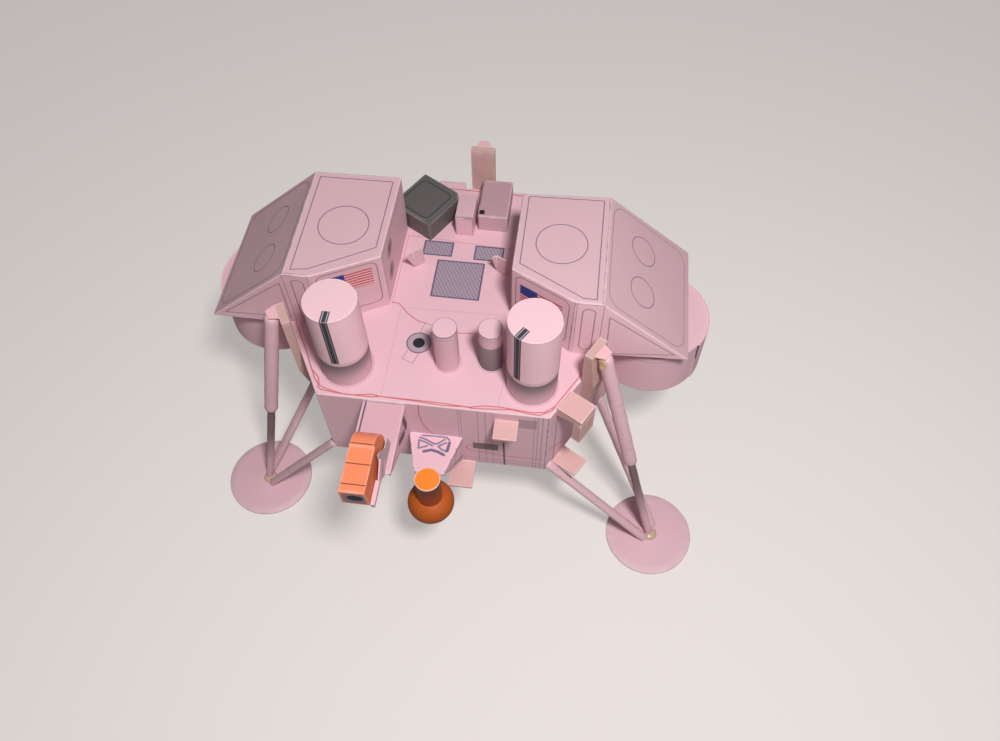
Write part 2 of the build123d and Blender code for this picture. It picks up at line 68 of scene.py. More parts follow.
floor_mesh = bpy.data.meshes.new("floor")
far, below = 6.0, -2e-5
floor_corners = [(-far, -far, below), (far, -far, below), (far, far, below), (-far, far, below)]
floor_mesh.from_pydata(floor_corners, [], [(0, 1, 2, 3)])
floor = bpy.data.objects.new("floor", floor_mesh)
scene.collection.objects.link(floor)
floor_finish = bpy.data.materials.new("floor_pale")
floor_finish.use_nodes = True
floor_nodes = floor_finish.node_tree
floor_shader = floor_nodes.nodes["Principled BSDF"]
floor_shader.inputs["Base Color"].default_value = (0.50, 0.47, 0.45, 1)
floor_shader.inputs["Roughness"].default_value = 0.9
# only the camera sees the floor a step paler, so that its far side isn't dark
floor_ray = floor_nodes.nodes.new("ShaderNodeLightPath")
floor_lift = floor_nodes.nodes.new("ShaderNodeMix")
floor_lift.data_type = "RGBA"
floor_lift.inputs[6].default_value = (0, 0, 0, 1)
floor_lift.inputs[7].default_value = (0.36, 0.345, 0.335, 1)
floor_nodes.links.new(floor_ray.outputs["Is Camera Ray"], floor_lift.inputs[0])
floor_nodes.links.new(floor_lift.outputs[2], floor_shader.inputs["Emission Color"])
floor_shader.inputs["Emission Strength"].default_value = 1.0
floor_mesh.materials.append(floor_finish)

key_data = bpy.data.lights.new("key", "AREA")
key_data.shape, key_data.size, key_data.energy = "DISK", 0.040, 0.62
key_data.color = (1.0, 0.955, 0.94)
key = bpy.data.objects.new("key", key_data)
key.location = home + np.array([0.064, -0.112, 0.280])
key.rotation_euler = (math.radians(21), math.radians(13), 0)
scene.collection.objects.link(key)
world = bpy.data.worlds.new("surroundings")
scene.world = world
world.use_nodes = True
world_nodes = world.node_tree
lit = world_nodes.nodes["Background"]
lit.inputs["Color"].default_value, lit.inputs["Strength"].default_value = (1.0, 0.96, 0.98, 1), 0.16
seen = world_nodes.nodes.new("ShaderNodeBackground")
seen.inputs["Color"].default_value = (0.86, 0.86, 0.87, 1)
paths = world_nodes.nodes.new("ShaderNodeLightPath")
choose = world_nodes.nodes.new("ShaderNodeMixShader")
world_nodes.links.new(paths.outputs["Is Camera Ray"], choose.inputs[0])
world_nodes.links.new(lit.outputs[0], choose.inputs[1])
world_nodes.links.new(seen.outputs[0], choose.inputs[2])
world_nodes.links.new(choose.outputs[0], world_nodes.nodes["World Output"].inputs[0])


# Body: a six-sided box of thin white card, long and short sides in turn. Its panels are scored,
# folded and glued along tabs, so every edge is slightly round and its print is rubbed off there.
class Tone:
    """One output socket of a material. Arithmetic on it adds the matching Math node."""

    def __init__(self, socket):
        self.socket, self.tree = socket, socket.id_data

    def node(self, kind, settings, sockets, out=0):
        """A new node of that type: its settings first, then values or links for its sockets."""
        made = self.tree.nodes.new(kind)
        for name, value in settings.items():
            setattr(made, name, value)
        for name, value in sockets.items():
            if isinstance(value, Tone):
                self.tree.links.new(value.socket, made.inputs[name])
            else:
                made.inputs[name].default_value = value
        return Tone(made.outputs[out])

    def math(self, operation, *values):
        return self.node("ShaderNodeMath", {"operation": operation}, dict(enumerate(values)))

    def __add__(self, other):
        return self.math("ADD", self, other)

    def __sub__(self, other):
        return self.math("SUBTRACT", self, other)

    def __rsub__(self, other):
        return self.math("SUBTRACT", other, self)

    def __mul__(self, other):
        return self.math("MULTIPLY", self, other)

    def __truediv__(self, other):
        return self.math("DIVIDE", self, other)

    def __and__(self, other):
        return self.math("MINIMUM", self, other)

    def __or__(self, other):
        return self.math("MAXIMUM", self, other)

    def __abs__(self):
        return self.math("ABSOLUTE", self)

    __radd__, __rmul__, __rand__, __ror__ = __add__, __mul__, __and__, __or__

    def sine(self):
        return self.math("SINE", self)

    def ramp(self, start, end, first, last, kind="SMOOTHSTEP"):
        """First where the value is at start, last where it is at end, and held beyond both."""
        names = "Value", "From Min", "From Max", "To Min", "To Max"
        sockets = dict(zip(names, (self, start, end, first, last)))
        return self.node("ShaderNodeMapRange", {"interpolation_type": kind}, sockets)

    def held(self):
        """The value held between 0 and 1."""
        return self.node("ShaderNodeClamp", {}, {"Value": self})

    def noise(self, scale, detail=3.0, roughness=0.5):
        """Noise at this place, with that many cells in a millimetre."""
        sockets = {"Vector": self, "Scale": scale, "Detail": detail, "Roughness": roughness}
        return self.node("ShaderNodeTexNoise", {}, sockets)

    def mixed(self, first, second):
        """Colour between first and second by this share."""
        return self.node("ShaderNodeMix", {"data_type": "RGBA"}, {0: self, 6: first, 7: second}, 2)

    def vector(self, operation, *values, out=0):
        sockets = dict(enumerate(values))
        return self.node("ShaderNodeVectorMath", {"operation": operation}, sockets, out)


def stroke(distance, width, soft=0.05):
    """Ink where a distance in millimetres is under half the line's width, with soft borders."""
    return distance.ramp(width / 2 - soft, width / 2 + soft, 1.0, 0.0)


def flat(u, v, w=0.0):
    """Two distances as one vector, the place on a printed face, or three for a place in space."""
    return u.node("ShaderNodeCombineXYZ", {}, {"X": u, "Y": v, "Z": w})


def run(place, start, end):
    """Distance to a straight line: the place less its own nearest point on the line."""
    dx, dy = end[0] - start[0], end[1] - start[1]
    square = dx * dx + dy * dy
    local = place.vector("SUBTRACT", place, (start[0], start[1], 0))
    share = local.vector("DOT_PRODUCT", local, (dx / square, dy / square, 0), out=1)
    share = share.held()
    nearest = flat(share * dx, share * dy)
    return local.vector("DISTANCE", local, nearest, out=1)


def trail(place, points):
    """Distance to a line through several points: the least of the distances to its runs."""
    nearest = run(place, points[0], points[1])
    for start, end in zip(points[1:], points[2:]):
        nearest = nearest & run(place, start, end)
    return nearest


def circle(place, centre, radius, stretch=1.0):
    """Distance to a round or oval line: the length from its centre less its radius."""
    local = place.vector("SUBTRACT", place, (centre[0], centre[1], 0))
    local = local.vector("MULTIPLY", local, (1.0, 1.0 / stretch, 0))
    return local.vector("LENGTH", local, out=1) - radius


def rounded(place, centre, half, radius):
    """Signed distance to a rectangle with round corners."""
    local = place.vector("SUBTRACT", place, (centre[0], centre[1], 0))
    local = local.vector("ABSOLUTE", local)
    local = local.vector("SUBTRACT", local, (half[0] - radius, half[1] - radius, 0))
    outside = local.vector("MAXIMUM", local, (0, 0, 0))
    x, y = (local.node("ShaderNodeSeparateXYZ", {}, {0: local}, out=i) for i in (0, 1))
    return outside.vector("LENGTH", outside, out=1) + ((x | y) & 0.0) - radius


BLUE_INK = (0.16, 0.17, 0.27, 1)
DARK_INK = (0.035, 0.035, 0.05, 1)
RED_INK = (0.52, 0.05, 0.06, 1)
WHITE_CARD = (0.79, 0.515, 0.585, 1)


def card_finish(name, colour=WHITE_CARD, prints=None, roughness=0.62, core=(0.86, 0.70, 0.73, 1)):
    """Printed card: a faintly uneven tone, ink from prints(x, y, z) in millimetres about the
    body's centre line, the card's pale core where an edge is worn, and a fine fibrous bump."""
    made = bpy.data.materials.new(name)
    made.use_nodes = True
    nodes = made.node_tree.nodes
    shader = nodes["Principled BSDF"]
    place = Tone(nodes.new("ShaderNodeTexCoord").outputs["Object"])
    centred = place.vector("SUBTRACT", place, tuple(home))
    centred = centred.vector("MULTIPLY", centred, (1 / MM, 1 / MM, 1 / MM))
    x, y, z = (centred.node("ShaderNodeSeparateXYZ", {}, {0: centred}, out=i) for i in range(3))
    cloud, grain = centred.noise(0.11), centred.noise(2.6, 4.0, 0.7)
    uneven = cloud * 0.22 + grain * 0.10 - 0.16
    darker = tuple(c * 0.72 for c in colour[:3]) + (1,)
    tone = uneven.mixed(colour, darker)
    for mask, ink in prints(x, y, z) if prints else ():
        tone = mask.mixed(tone, ink)
    worn = place.node("ShaderNodeAttribute", {"attribute_name": "worn"}, {}, out=2)
    tone = (worn * (centred.noise(0.45) * 1.5 - 0.35)).mixed(tone, core)
    made.node_tree.links.new(tone.socket, shader.inputs["Base Color"])
    rough = grain * 0.25 + (roughness - 0.12)
    made.node_tree.links.new(rough.socket, shader.inputs["Roughness"])
    shader.inputs["Specular IOR Level"].default_value = 0.35
    height = centred.noise(7.0) * 0.35 + grain * 0.65
    relief = {"Height": height, "Strength": 0.10, "Distance": 0.12 * MM}
    bump = place.node("ShaderNodeBump", {}, relief)
    made.node_tree.links.new(bump.socket, shader.inputs["Normal"])
    return made


BESIDE_FOLD = 0.45  # a ring of points runs this far inside each fold, which keeps it narrow


def card_faces(faces, bow=0.0, spacing=2.2):
    """Grids for flat faces given by their corners: rings that shrink from a face's border to its
    middle, lifted along its normal by bow times one less the ring's share squared, which a slow
    wave varies by a third. The border is worn."""
    grids = []
    for number, (corners, finish) in enumerate(faces):
        corners = np.asarray(corners, float)
        following = np.roll(corners, -1, 0)
        parts = []
        for a, b in zip(corners, following):
            count = max(1, round(float(np.linalg.norm(b - a)) / spacing))
            parts.append(a + (b - a) * (np.arange(count) / count)[:, None])
        border = np.concatenate(parts)
        middle = corners.mean(0)
        normal = np.cross(corners - middle, following - middle).sum(0)
        normal /= np.linalg.norm(normal)
        edge = following - corners
        reach = np.linalg.norm(np.cross(middle - corners, edge), axis=1)
        reach = reach / np.linalg.norm(edge, axis=1)
        beside = max(0.5, 1 - BESIDE_FOLD / reach.min())
        share = np.sort([1.0, beside, 0.86, 0.68, 0.5, 0.3, 0.14, 0.0])[::-1]
        rings = middle + share[:, None, None] * (border - middle)
        x, y, z = np.moveaxis(rings, -1, 0)
        wave = 0.35 * np.sin(x * 0.31 + number) * np.sin(y * 0.27 + z * 0.23)
        rings = rings + normal * (bow * (1 - share**2)[:, None] * (1 + wave))[..., None]
        worn = np.broadcast_to((share == 1.0).astype(float)[:, None], rings.shape[:2])
        grids.append((rings, finish, worn))
    return grids


def build(name, grids, finishes, nodes=(), fold=0.0):
    """A piece from closed-round grids in millimetres about the body's centre line: joined into
    one skin with its faces outwards, its folds rounded, riding on the model."""
    points, quads, which, wear, offset = [], [], [], [], 0
    for rings, finish, worn in grids:
        rows, columns = rings.shape[:2]
        row = offset + np.arange(rows - 1)[:, None] * columns
        column = np.arange(columns)[None, :]
        after = (column + 1) % columns
        corners = row + column, row + after, row + columns + after, row + columns + column
        quads.append(np.stack(corners, -1).reshape(-1, 4))
        points.append(rings.reshape(-1, 3))
        which.append(np.full((rows - 1) * columns, finish))
        wear.append(np.asarray(worn, float).reshape(-1))
        offset += rows * columns
    mesh = bpy.data.meshes.new(name)
    places = np.concatenate(points) * MM + home
    mesh.from_pydata(places.tolist(), [], np.concatenate(quads).tolist())
    mesh.polygons.foreach_set("material_index", np.concatenate(which).astype(np.int32))
    shares = mesh.attributes.new("worn", "FLOAT", "POINT").data
    shares.foreach_set("value", np.concatenate(wear).astype(np.float32))
    skin = bmesh.new()
    skin.from_mesh(mesh)
    bmesh.ops.remove_doubles(skin, verts=skin.verts, dist=2e-6)
    bmesh.ops.dissolve_degenerate(skin, dist=1e-7, edges=skin.edges)
    bmesh.ops.recalc_face_normals(skin, faces=skin.faces)
    skin.to_mesh(mesh)
    skin.free()
    mesh.polygons.foreach_set("use_smooth", np.full(len(mesh.polygons), True))
    for finish in finishes:
        mesh.materials.append(finish)
    piece = bpy.data.objects.new(name, mesh)
    scene.collection.objects.link(piece)
    if fold:
        rounding = piece.modifiers.new("fold", "BEVEL")
        rounding.width, rounding.segments = fold * MM, 2
        rounding.limit_method, rounding.angle_limit = "ANGLE", math.radians(24)
        rounding.harden_normals = True
    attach(piece, "root")
    if nodes:
        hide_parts(*nodes)
    return piece


def prism(outline, low, high, wall=0, top=0, bottom=0):
    """Faces of an upright box on a plan outline: one wall per side, a top and a bottom."""
    outline = np.asarray(outline, float)
    under = np.column_stack([outline, np.full(len(outline), low)])
    over = np.column_stack([outline, np.full(len(outline), high)])
    walls = wall if isinstance(wall, list) else [wall] * len(outline)
    corners = zip(under, np.roll(under, -1, 0), np.roll(over, -1, 0), over)
    return list(zip(map(list, corners), walls)) + [(over, top), (under[::-1], bottom)]


def in_mm(node):
    """Lowest and highest corner of a node's box, in millimetres about the body's centre line."""
    return [((np.array(corner) - home) / MM).tolist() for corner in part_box(node)]


DECK, FLOOR_LEVEL = in_mm("deck")[1][2], in_mm("body_floor")[0][2]
SIDE, REAR = 32.938, 31.0  # from the centre line to the short sides and to the rear side
normals = np.radians([270, 330, 30, 90, 150, 210])
reaches = np.array([FRONT, SIDE, FRONT, REAR, FRONT, SIDE])
# each corner is where a side's line meets the line of the side before it
last, last_reach = np.roll(normals, 1), np.roll(reaches, 1)
corner_x = last_reach * np.sin(normals) - reaches * np.sin(last)
corner_y = np.cos(last) * reaches - np.cos(normals) * last_reach
hexagon = np.column_stack([corner_x, corner_y]) / np.sin(normals - last)[:, None]


def deck_prints(x, y, z):
    """Deck: three meshed vents, a round sensor, red leads along the edges, thin panel lines."""
    place = flat(x, y)
    weave = (x * 8.2 + y * 4.6).sine() * 0.275 + (x * 5.0 - y * 9.5).sine() * 0.225 + 0.5
    hatch = weave.mixed((0.20, 0.19, 0.27, 1), (0.50, 0.38, 0.44, 1))
    vents = [((0.37, 4.45), (4.98, 4.85))]
    vents += [((-5.12, 12.52), (3.07, 1.88)), ((5.97, 12.25), (3.02, 1.85))]
    for centre, half in vents:
        border = rounded(place, centre, half, 0.05)
        yield stroke(border, 0.0, 0.06), hatch
        yield stroke(abs(border), 0.34) * 0.85, (0.06, 0.07, 0.16, 1)
    sensor = circle(place, (-5.0, -12.4), 0.0)
    yield stroke(sensor, 4.8, 0.08) * 0.7, (0.30, 0.28, 0.38, 1)
    yield stroke(abs(sensor - 2.4), 0.28) * 0.7, DARK_INK
    yield stroke(sensor, 2.4, 0.06), (0.02, 0.02, 0.025, 1)
    tabs = trail(place, [(-6.9, -14.2), (-7.6, -16.5), (-5.4, -17.4), (-4.6, -14.9)])
    tabs = tabs & trail(place, [(-5.2, -9.9), (-4.5, -7.4), (-3.2, -7.8)])
    yield stroke(tabs, 0.15) * 0.65, BLUE_INK
    short = [
        (-12.3, -3.05), (-10.9, -3.05), (-9.85, -4.1), (-8.6, -5.4), (-7.1, -6.5), (-5.7, -7.25),
        (-4.5, -7.4),
    ]  # fmt: skip
    short = trail(place, short) & run(place, (1.4, -9.3), (8.0, -8.5))
    yield stroke(short, 0.22) * 0.75, RED_INK
    thin = [(-12.2, -3.0), (-12.1, 15.35), (-7.0, 15.3), (2.9, 14.5), (12.5, 14.1)]
    yield stroke(trail(place, thin), 0.15) * 0.5, RED_INK
    first = [
        (-31.5, -9.0), (-26.7, -17.5), (-25.0, -20.9), (-23.1, -22.8), (-22.6, -24.3),
        (-22.8, -24.8), (-22.0, -25.4), (-18.9, -25.8), (-15.6, -25.9), (-11.8, -25.3),
        (-10.3, -25.6), (-1.1, -25.6), (7.2, -25.9), (10.0, -25.3), (13.0, -25.2),
        (19.4, -25.7), (21.6, -25.3), (23.4, -23.8), (32.5, -7.8),
    ]  # fmt: skip
    second = [
        (-26.7, -17.5), (-25.2, -20.4), (-23.9, -22.9), (-22.6, -24.5), (-20.8, -25.2),
        (-17.3, -25.9), (-12.1, -25.9), (-10.3, -25.6), (-3.4, -25.8), (2.0, -26.2),
        (6.1, -25.9), (8.1, -26.1), (15.2, -25.5), (18.6, -26.0), (20.6, -26.1),
        (22.8, -24.9), (23.4, -24.0),
    ]  # fmt: skip
    yield stroke(trail(place, first) & trail(place, second), 0.22) * 0.8, RED_INK
    yield stroke(run(place, (-13.0, 30.5), (14.0, 30.1)), 0.3) * 0.7, RED_INK
    for node in ("camera_base_left", "camera_base_right", "inlet_1", "inlet_2"):
        (x0, y0, _), (x1, y1, _) = in_mm(node)
        ring = circle(place, ((x0 + x1) / 2, (y0 + y1) / 2), (x1 - x0) / 2 + 0.22)
        yield stroke(abs(ring), 0.14) * 0.5, BLUE_INK
    panel = [
        (-10.1, -25.4), (-10.1, -5.0), (-9.1, -4.1), (12.4, -3.6), (12.9, -21.0), (12.5, -25.4),
    ]  # fmt: skip
    yield stroke(trail(place, panel), 0.14) * 0.28, BLUE_INK


def front_prints(x, y, z):
    """Front wall: panel lines, two grey plates and red leads."""
    place = flat(x, z)
    top, foot = 49, 27
    upright = run(place, (4.85, top), (4.95, foot)) & run(place, (5.35, top), (5.45, foot))
    for at in (8.75, 10.2, 11.6, 19.9, 20.6):
        upright = upright & run(place, (at, top), (at, foot))
    yield stroke(upright, 0.16) * 0.5, BLUE_INK
    yield stroke(run(place, (13.8, 37.2), (14.05, foot)), 0.42) * 0.85, (0.07, 0.06, 0.10, 1)
    yield stroke(run(place, (21.45, top), (21.45, foot)), 0.16) * 0.6, BLUE_INK
    yield stroke(run(place, (22.6, top), (22.6, foot)), 0.5) * 0.75, DARK_INK
    yield stroke(abs(z - 28.3) & abs(z - 29.3), 0.2) * 0.6, BLUE_INK
    upper = rounded(place, (18.5, 45.9), (1.85, 1.7), 0.1)
    yield stroke(upper, 0.0, 0.06) * 0.6, (0.33, 0.24, 0.27, 1)
    lower = rounded(place, (10.1, 34.8), (2.6, 1.3), 0.1)
    yield stroke(lower, 0.0, 0.06) * 0.85, (0.13, 0.11, 0.13, 1)
    right = [
        (8.6, 35.0), (7.0, 35.0), (6.0, 33.8), (6.6, 32.5), (9.0, 32.1), (13.5, 31.5), (22.4, 31.4),
    ]  # fmt: skip
    left = [(-2.6, 49.0), (-2.85, 45.5), (-2.4, 41.8), (-1.4, 39.2), (0.0, 37.4)]
    yield stroke(trail(place, right) & trail(place, left), 0.2) * 0.75, RED_INK


def side_prints(x, y, z):
    """Other walls: a double line above the floor, upright panel lines and a slack red lead."""
    yield stroke(abs(z - 28.2) & abs(z - 29.0), 0.2) * 0.5, BLUE_INK
    round_about = x.math("ARCTAN2", y, x) * 5.0
    upright = abs(round_about.sine() - 0.72) * 4.0 & abs(round_about.sine() + 0.55) * 4.0
    yield stroke(upright, 0.2) * 0.55, BLUE_INK
    slack = abs(z - 38.0 - (round_about * 0.9 + 1.0).sine() * 7.5) * 0.35
    yield stroke(slack, 0.1) * 0.7, RED_INK


deck_card = card_finish("deck_card", prints=deck_prints)
front_card = card_finish("front_wall_card", prints=front_prints)
wall_card = card_finish("wall_card", prints=side_prints)
plain_card = card_finish("plain_card")
# corner 0 of the outline starts the front side, so wall 0 is the printed front wall
body_faces = prism(hexagon, FLOOR_LEVEL, DECK, wall=[1, 2, 2, 2, 2, 2], top=0, bottom=3)
body_cards = [deck_card, front_card, wall_card, plain_card]
body_nodes = ["deck", "body_walls", "body_floor"]
build("body_box", card_faces(body_faces, 0.05), body_cards, body_nodes, 0.22)


# Covers: a mirrored pair of folded card boxes on the deck, flat on top with a long sloping outer
# side that hangs out over the tanks. Outlines, discs and a striped flag are printed on them.
(INNER, NEAR, _), (OUTER, FAR, COVER_TOP) = in_mm("cover_right")
RIDGE, BEVEL_X, BEVEL_Y = 30.45, INNER + 12.7, NEAR + 6.5


def cover_box(hand, nudges):
    """Corners of a cover's seven faces; hand is -1 for the left one. Nudges move the corners a
    little as in a hand-glued box: low or high, corner number, and how far."""
    levels = []
    for side, z in ((OUTER, DECK), (RIDGE, COVER_TOP)):
        plan = [(INNER, BEVEL_Y), (BEVEL_X, NEAR), (side, NEAR), (side, FAR), (INNER, FAR)]
        levels.append(np.array([(hand * x, y, z) for x, y in plan]))
    for level, number, push in nudges:
        levels[level][number] += push
    low, high = levels
    faces = [(high, 0), (low, 4)]
    for i, finish in enumerate((2, 3, 1, 4, 5)):
        j = (i + 1) % 5
        faces.append(([low[i], low[j], high[j], high[i]], finish))
    return faces


# painted shade: the covers' card is a step darker than the deck's white card, for the less light
# that reaches them
DIMMED_COVER_CARD, COVER_INK = (0.71, 0.475, 0.525), (0.10, 0.09, 0.15, 1)


def cover_finishes(name, hand):
    """The six printed cards of one cover, each a lighter or darker copy of the card as painted
    light.
    """

    def scored(distance, width, x, y, z):
        """A scored edge's thin dark line, fainter in stretches."""
        fade = flat(x, y, z).noise(0.5)
        return stroke(distance, width, 0.06) * (fade * 1.7 - 0.35)

    def top(x, y, z):
        place = flat(x * hand, y)
        inset = [(14.0, 15.4), (29.1, 15.8), (29.1, -9.1), (26.6, -9.1), (14.0, -2.2)]
        if hand < 0:
            inset = [(14.0, 15.95), (29.1, 15.8), (29.1, -8.8), (25.8, -8.25), (14.0, -1.5)]
        yield stroke(trail(place, inset + inset[:1]), 0.2) * 0.8, COVER_INK
        yield stroke(abs(circle(place, (21.55, 3.5), 5.0)), 0.2) * 0.8, COVER_INK
        crease = abs(x * hand - RIDGE + 0.2)
        if hand < 0:
            crease = run(place, (RIDGE, NEAR + 0.35), (BEVEL_X + 0.5, NEAR + 0.35))
        yield scored(crease, 0.2, x, y, z), (0.12, 0.08, 0.09, 1)

    def outer(x, y, z):
        slope = (x * hand - RIDGE) * 0.755 + (COVER_TOP - z) * 0.655  # down the side from its ridge
        place = flat(y, slope)
        frame_line = abs(rounded(place, (3.5, 11.6), (12.4, 10.6), 3.0))
        yield stroke(frame_line, 0.2) * (0.75 if hand < 0 else 0.5), COVER_INK
        if hand < 0:
            yield scored(slope - 0.1, 0.7, x, y, z), (0.16, 0.14, 0.22, 1)
            yield scored(abs(y - FAR + 0.15), 0.5, x, y, z), (0.86, 0.62, 0.68, 1)
        discs = abs(circle(place, (-1.5, 9.8), 3.3)) & abs(circle(place, (8.9, 9.7), 3.3))
        yield stroke(discs, 0.2) * 0.75, COVER_INK

    def flag(x, y, z):
        along = (x * hand - INNER) * 0.890 - (y - BEVEL_Y) * 0.456
        place = flat(along, z)
        yield stroke(abs(rounded(place, (7.1, 57.3), (6.0, 6.1), 1.5)), 0.2) * 0.75, COVER_INK
        yield scored(abs(along - 14.15), 0.25, x, y, z), COVER_INK
        middle, half, corner = (58.95, 2.45, 4.1) if hand > 0 else (59.65, 2.45, 9.65)
        stripes = ((z - middle + half) * 8.33 + 1.57).sine() * 3.0 + 0.5
        cloth = stroke(rounded(place, (6.9, middle), (4.75, half), 0.03), 0.0)
        yield cloth, stripes.held().mixed((0.80, 0.58, 0.60, 1), (0.60, 0.06, 0.085, 1))
        canton = rounded(place, (corner, middle + 1.15), (1.95, 1.3), 0.03)
        yield stroke(canton, 0.0), (0.03, 0.055, 0.27, 1)

    def front(x, y, z):
        x = x * hand
        place = flat(x, z)
        pill, half, wedge = 56.75, 6.05, [(31.9, 61.0), (32.3, 49.7), (45.6, 50.65)]
        if hand < 0:
            pill, half, wedge = 56.5, 6.3, [(31.6, 61.4), (31.6, 50.6), (45.3, 50.3)]
        yield stroke(abs(rounded(place, (27.95, pill), (1.2, half), 1.15)), 0.22) * 0.7, COVER_INK
        yield stroke(trail(place, wedge + wedge[:1]), 0.22) * 0.65, COVER_INK
        yield stroke(run(place, (30.6, 49), (30.6, 64)), 0.16) * 0.6, COVER_INK
        creases = abs(z - COVER_TOP + 0.3) & abs(x - BEVEL_X - 0.3)
        yield scored(creases, 0.2, x, y, z), COVER_INK

    def inner(x, y, z):
        place = flat(y, z)
        for centre in ((2.9, 59.3), (1.8, 53.8)):
            dial = circle(place, centre, 0.0)
            yield stroke(dial, 4.0, 0.5) * 0.6, (0.22, 0.12, 0.09, 1)
            yield stroke(dial, 1.9, 0.4) * 0.6, (0.09, 0.06, 0.05, 1)
        yield stroke(abs(rounded(place, (6.6, 56.7), (9.2, 6.4), 0.8)), 0.2) * 0.35, BLUE_INK

    # painted light: each face of a cover gets its own copy of the card, lighter or darker for the
    # light it gets; the front faces are a step paler than the sloping ones
    pale = 1.27 if hand > 0 else 1.15
    parts = ("top", top, 1.0), ("outer", outer, 0.95), ("flag", flag, pale - 0.07)
    parts += ("front", front, pale), ("back", None, 1.0), ("inner", inner, 1.1)
    cards = []
    for part, prints, step in parts:
        colour = tuple(c * step for c in DIMMED_COVER_CARD) + (1,)
        cards.append(card_finish(f"{name}_{part}_card", colour, prints))
    return cards


NUDGES = {
    "left": [(0, 1, (0.3, 0, -1.0)), (0, 2, (-0.3, -0.2, -0.3)), (1, 4, (0.1, 0.3, 0.1))],
    "right": [
        (0, 1, (0.2, -0.95, 0)), (0, 2, (0.65, 0, 0)), (0, 3, (0.6, 0.5, 0)),
        (1, 3, (0, -0.2, 0)), (1, 4, (0.1, -1.1, -0.1)),
    ],
}  # fmt: skip
for name, hand in (("left", -1), ("right", 1)):
    faces = card_faces(cover_box(hand, NUDGES[name]), 0.2)
    finishes = cover_finishes("cover_" + name, hand)
    build("cover_" + name + "_box", faces, finishes, ["cover_" + name], 0.3)


# Tanks: two low round tins of rolled card, glued to the body's side corners under the covers.
# Each wall is one strip whose ends lap, with a gap beside the end that lies on top, its shade
# painted dark.
def turned(profile, centre, lap=0.0, seam=0.0, steps=72, finish=0, edges=()):
    """Grid of a wall rolled round an upright axis: the radius from the profile, plus a share of
    the lap that grows once round from the seam, so that the strip's ends overlap in a step. A few
    close columns beside the seam keep the step crisp. The profile's rows at the edges are worn."""
    profile = np.asarray(profile, float)
    whole = 2 * np.pi
    even = np.linspace(0, whole, steps, endpoint=False)[1:]
    angle = np.concatenate([[0, 0.02], even, [whole - 0.03, whole - 0.006]])
    radius = profile[:, :1] + lap * (angle / whole) * (profile[:, :1] > 0.6 * profile[:, 0].max())
    x = centre[0] + radius * np.cos(angle + seam)
    y = centre[1] + radius * np.sin(angle + seam)
    z = np.broadcast_to(profile[:, 1:2], x.shape)
    worn = np.zeros(x.shape)
    worn[list(edges)] = 1.0
    return np.stack([x, y, z], -1), finish, worn


TIN_FOOT, TIN_RIM = (5,), (12, 13)  # rows of a tin's profile that are its cut edges
TIN_LID = 15  # row at the bottom of the seam, where the wall ends and the lid starts


def tin(radius, low, high, lip=0.0, edge=0.07):
    """Profile of a closed drum, from the middle of its floor to the middle of its lid: rounded
    cut edges with close rows beside them, and a fine seam between the wall and the lid, which
    sits let in by the lip."""
    rim = radius - edge
    lid = high - lip - 0.02
    return [
        (0, low), (rim - 0.3, low), (rim - 0.12, low), (rim, low),
        (rim + edge * 0.7, low + edge * 0.3), (radius, low + edge), (radius, low + 0.2),
        (radius, low + 0.5), (radius, (low + high) / 2), (radius, high - 0.5), (radius, high - 0.2),
        (radius, high - edge), (rim + edge * 0.7, high - edge * 0.3), (rim, high),
        (rim - 0.1, high), (rim - 0.12, lid - 0.05), (rim - 0.15, lid - 0.05), (rim - 0.18, lid),
        (rim - 0.3, lid), (rim - 0.6, lid), (0, lid),
    ]  # fmt: skip


def facing(x, y, centre, angle):
    """A place's distance out from a centre in one direction, and its distance across that."""
    x, y = x - centre[0], y - centre[1]
    return x * math.cos(angle) + y * math.sin(angle), y * math.cos(angle) - x * math.sin(angle)


TANK_RADIUS, TANK_LEAN = 11.4, 0.7
GAP_FOOT, GAP_SPREAD = 38.0, 0.022  # the level where the gap opens, and its growth per millimetre


def tank_prints(centre, seam, rim):
    """Tank wall: a thin line under its rim, and painted shade in the gap beside the strip's end,
    wider above.
    """

    def prints(x, y, z):
        yield stroke(abs(z - 45.9), 0.2) * 0.35, BLUE_INK
        out, aside = facing(x, y, centre, seam)
        gap = (z - GAP_FOOT) * GAP_SPREAD
        # painted shade: dark where the gap beside the strip's end lies in shade
        dark = stroke(abs(aside + gap) - gap, 0.1, 0.06) * stroke(abs(out - TANK_RADIUS), 2.0)
        dark = dark * stroke(GAP_FOOT + 0.5 - z, 0.4, 0.2) * stroke(z, 2 * rim - 0.8)
        yield dark * 0.9, (0.07, 0.05, 0.06, 1)

    return prints


for name, hand, seam in (("left", -1, 3.6), ("right", 1, -0.62)):
    node = "tank_" + name
    (left, near, low), (right, far, high) = in_mm(node)
    x = right - TANK_RADIUS if hand > 0 else left + TANK_RADIUS
    y = (near + far) / 2
    profile = tin(TANK_RADIUS + 0.04, low, high, 0.3)
    points, finish, worn = turned(profile, (x, y), -0.22, seam, edges=TIN_FOOT + TIN_RIM)
    points[..., 1] += TANK_LEAN * (points[..., 2] - low) / (high - low)  # leans a little back
    tank_card = card_finish(node + "_card", prints=tank_prints((x, y + TANK_LEAN), seam, high))
    build(node + "_tin", [(points, finish, worn)], [tank_card], [node])


# Cameras: two upright rolled tubes of card, each a low base with a printed grey gradient under a
# tall head of almost the same width, whose flat lid and side are crossed by a striped slot.
CAMERA_RADIUS, SLOT_FOOT = 4.88, 57.0


def middle_of(node):
    """Plan centre of a node's box, and its lowest and highest level, in millimetres."""
    (x0, y0, low), (x1, y1, high) = in_mm(node)
    return (x0 + x1) / 2, (y0 + y1) / 2, low, high


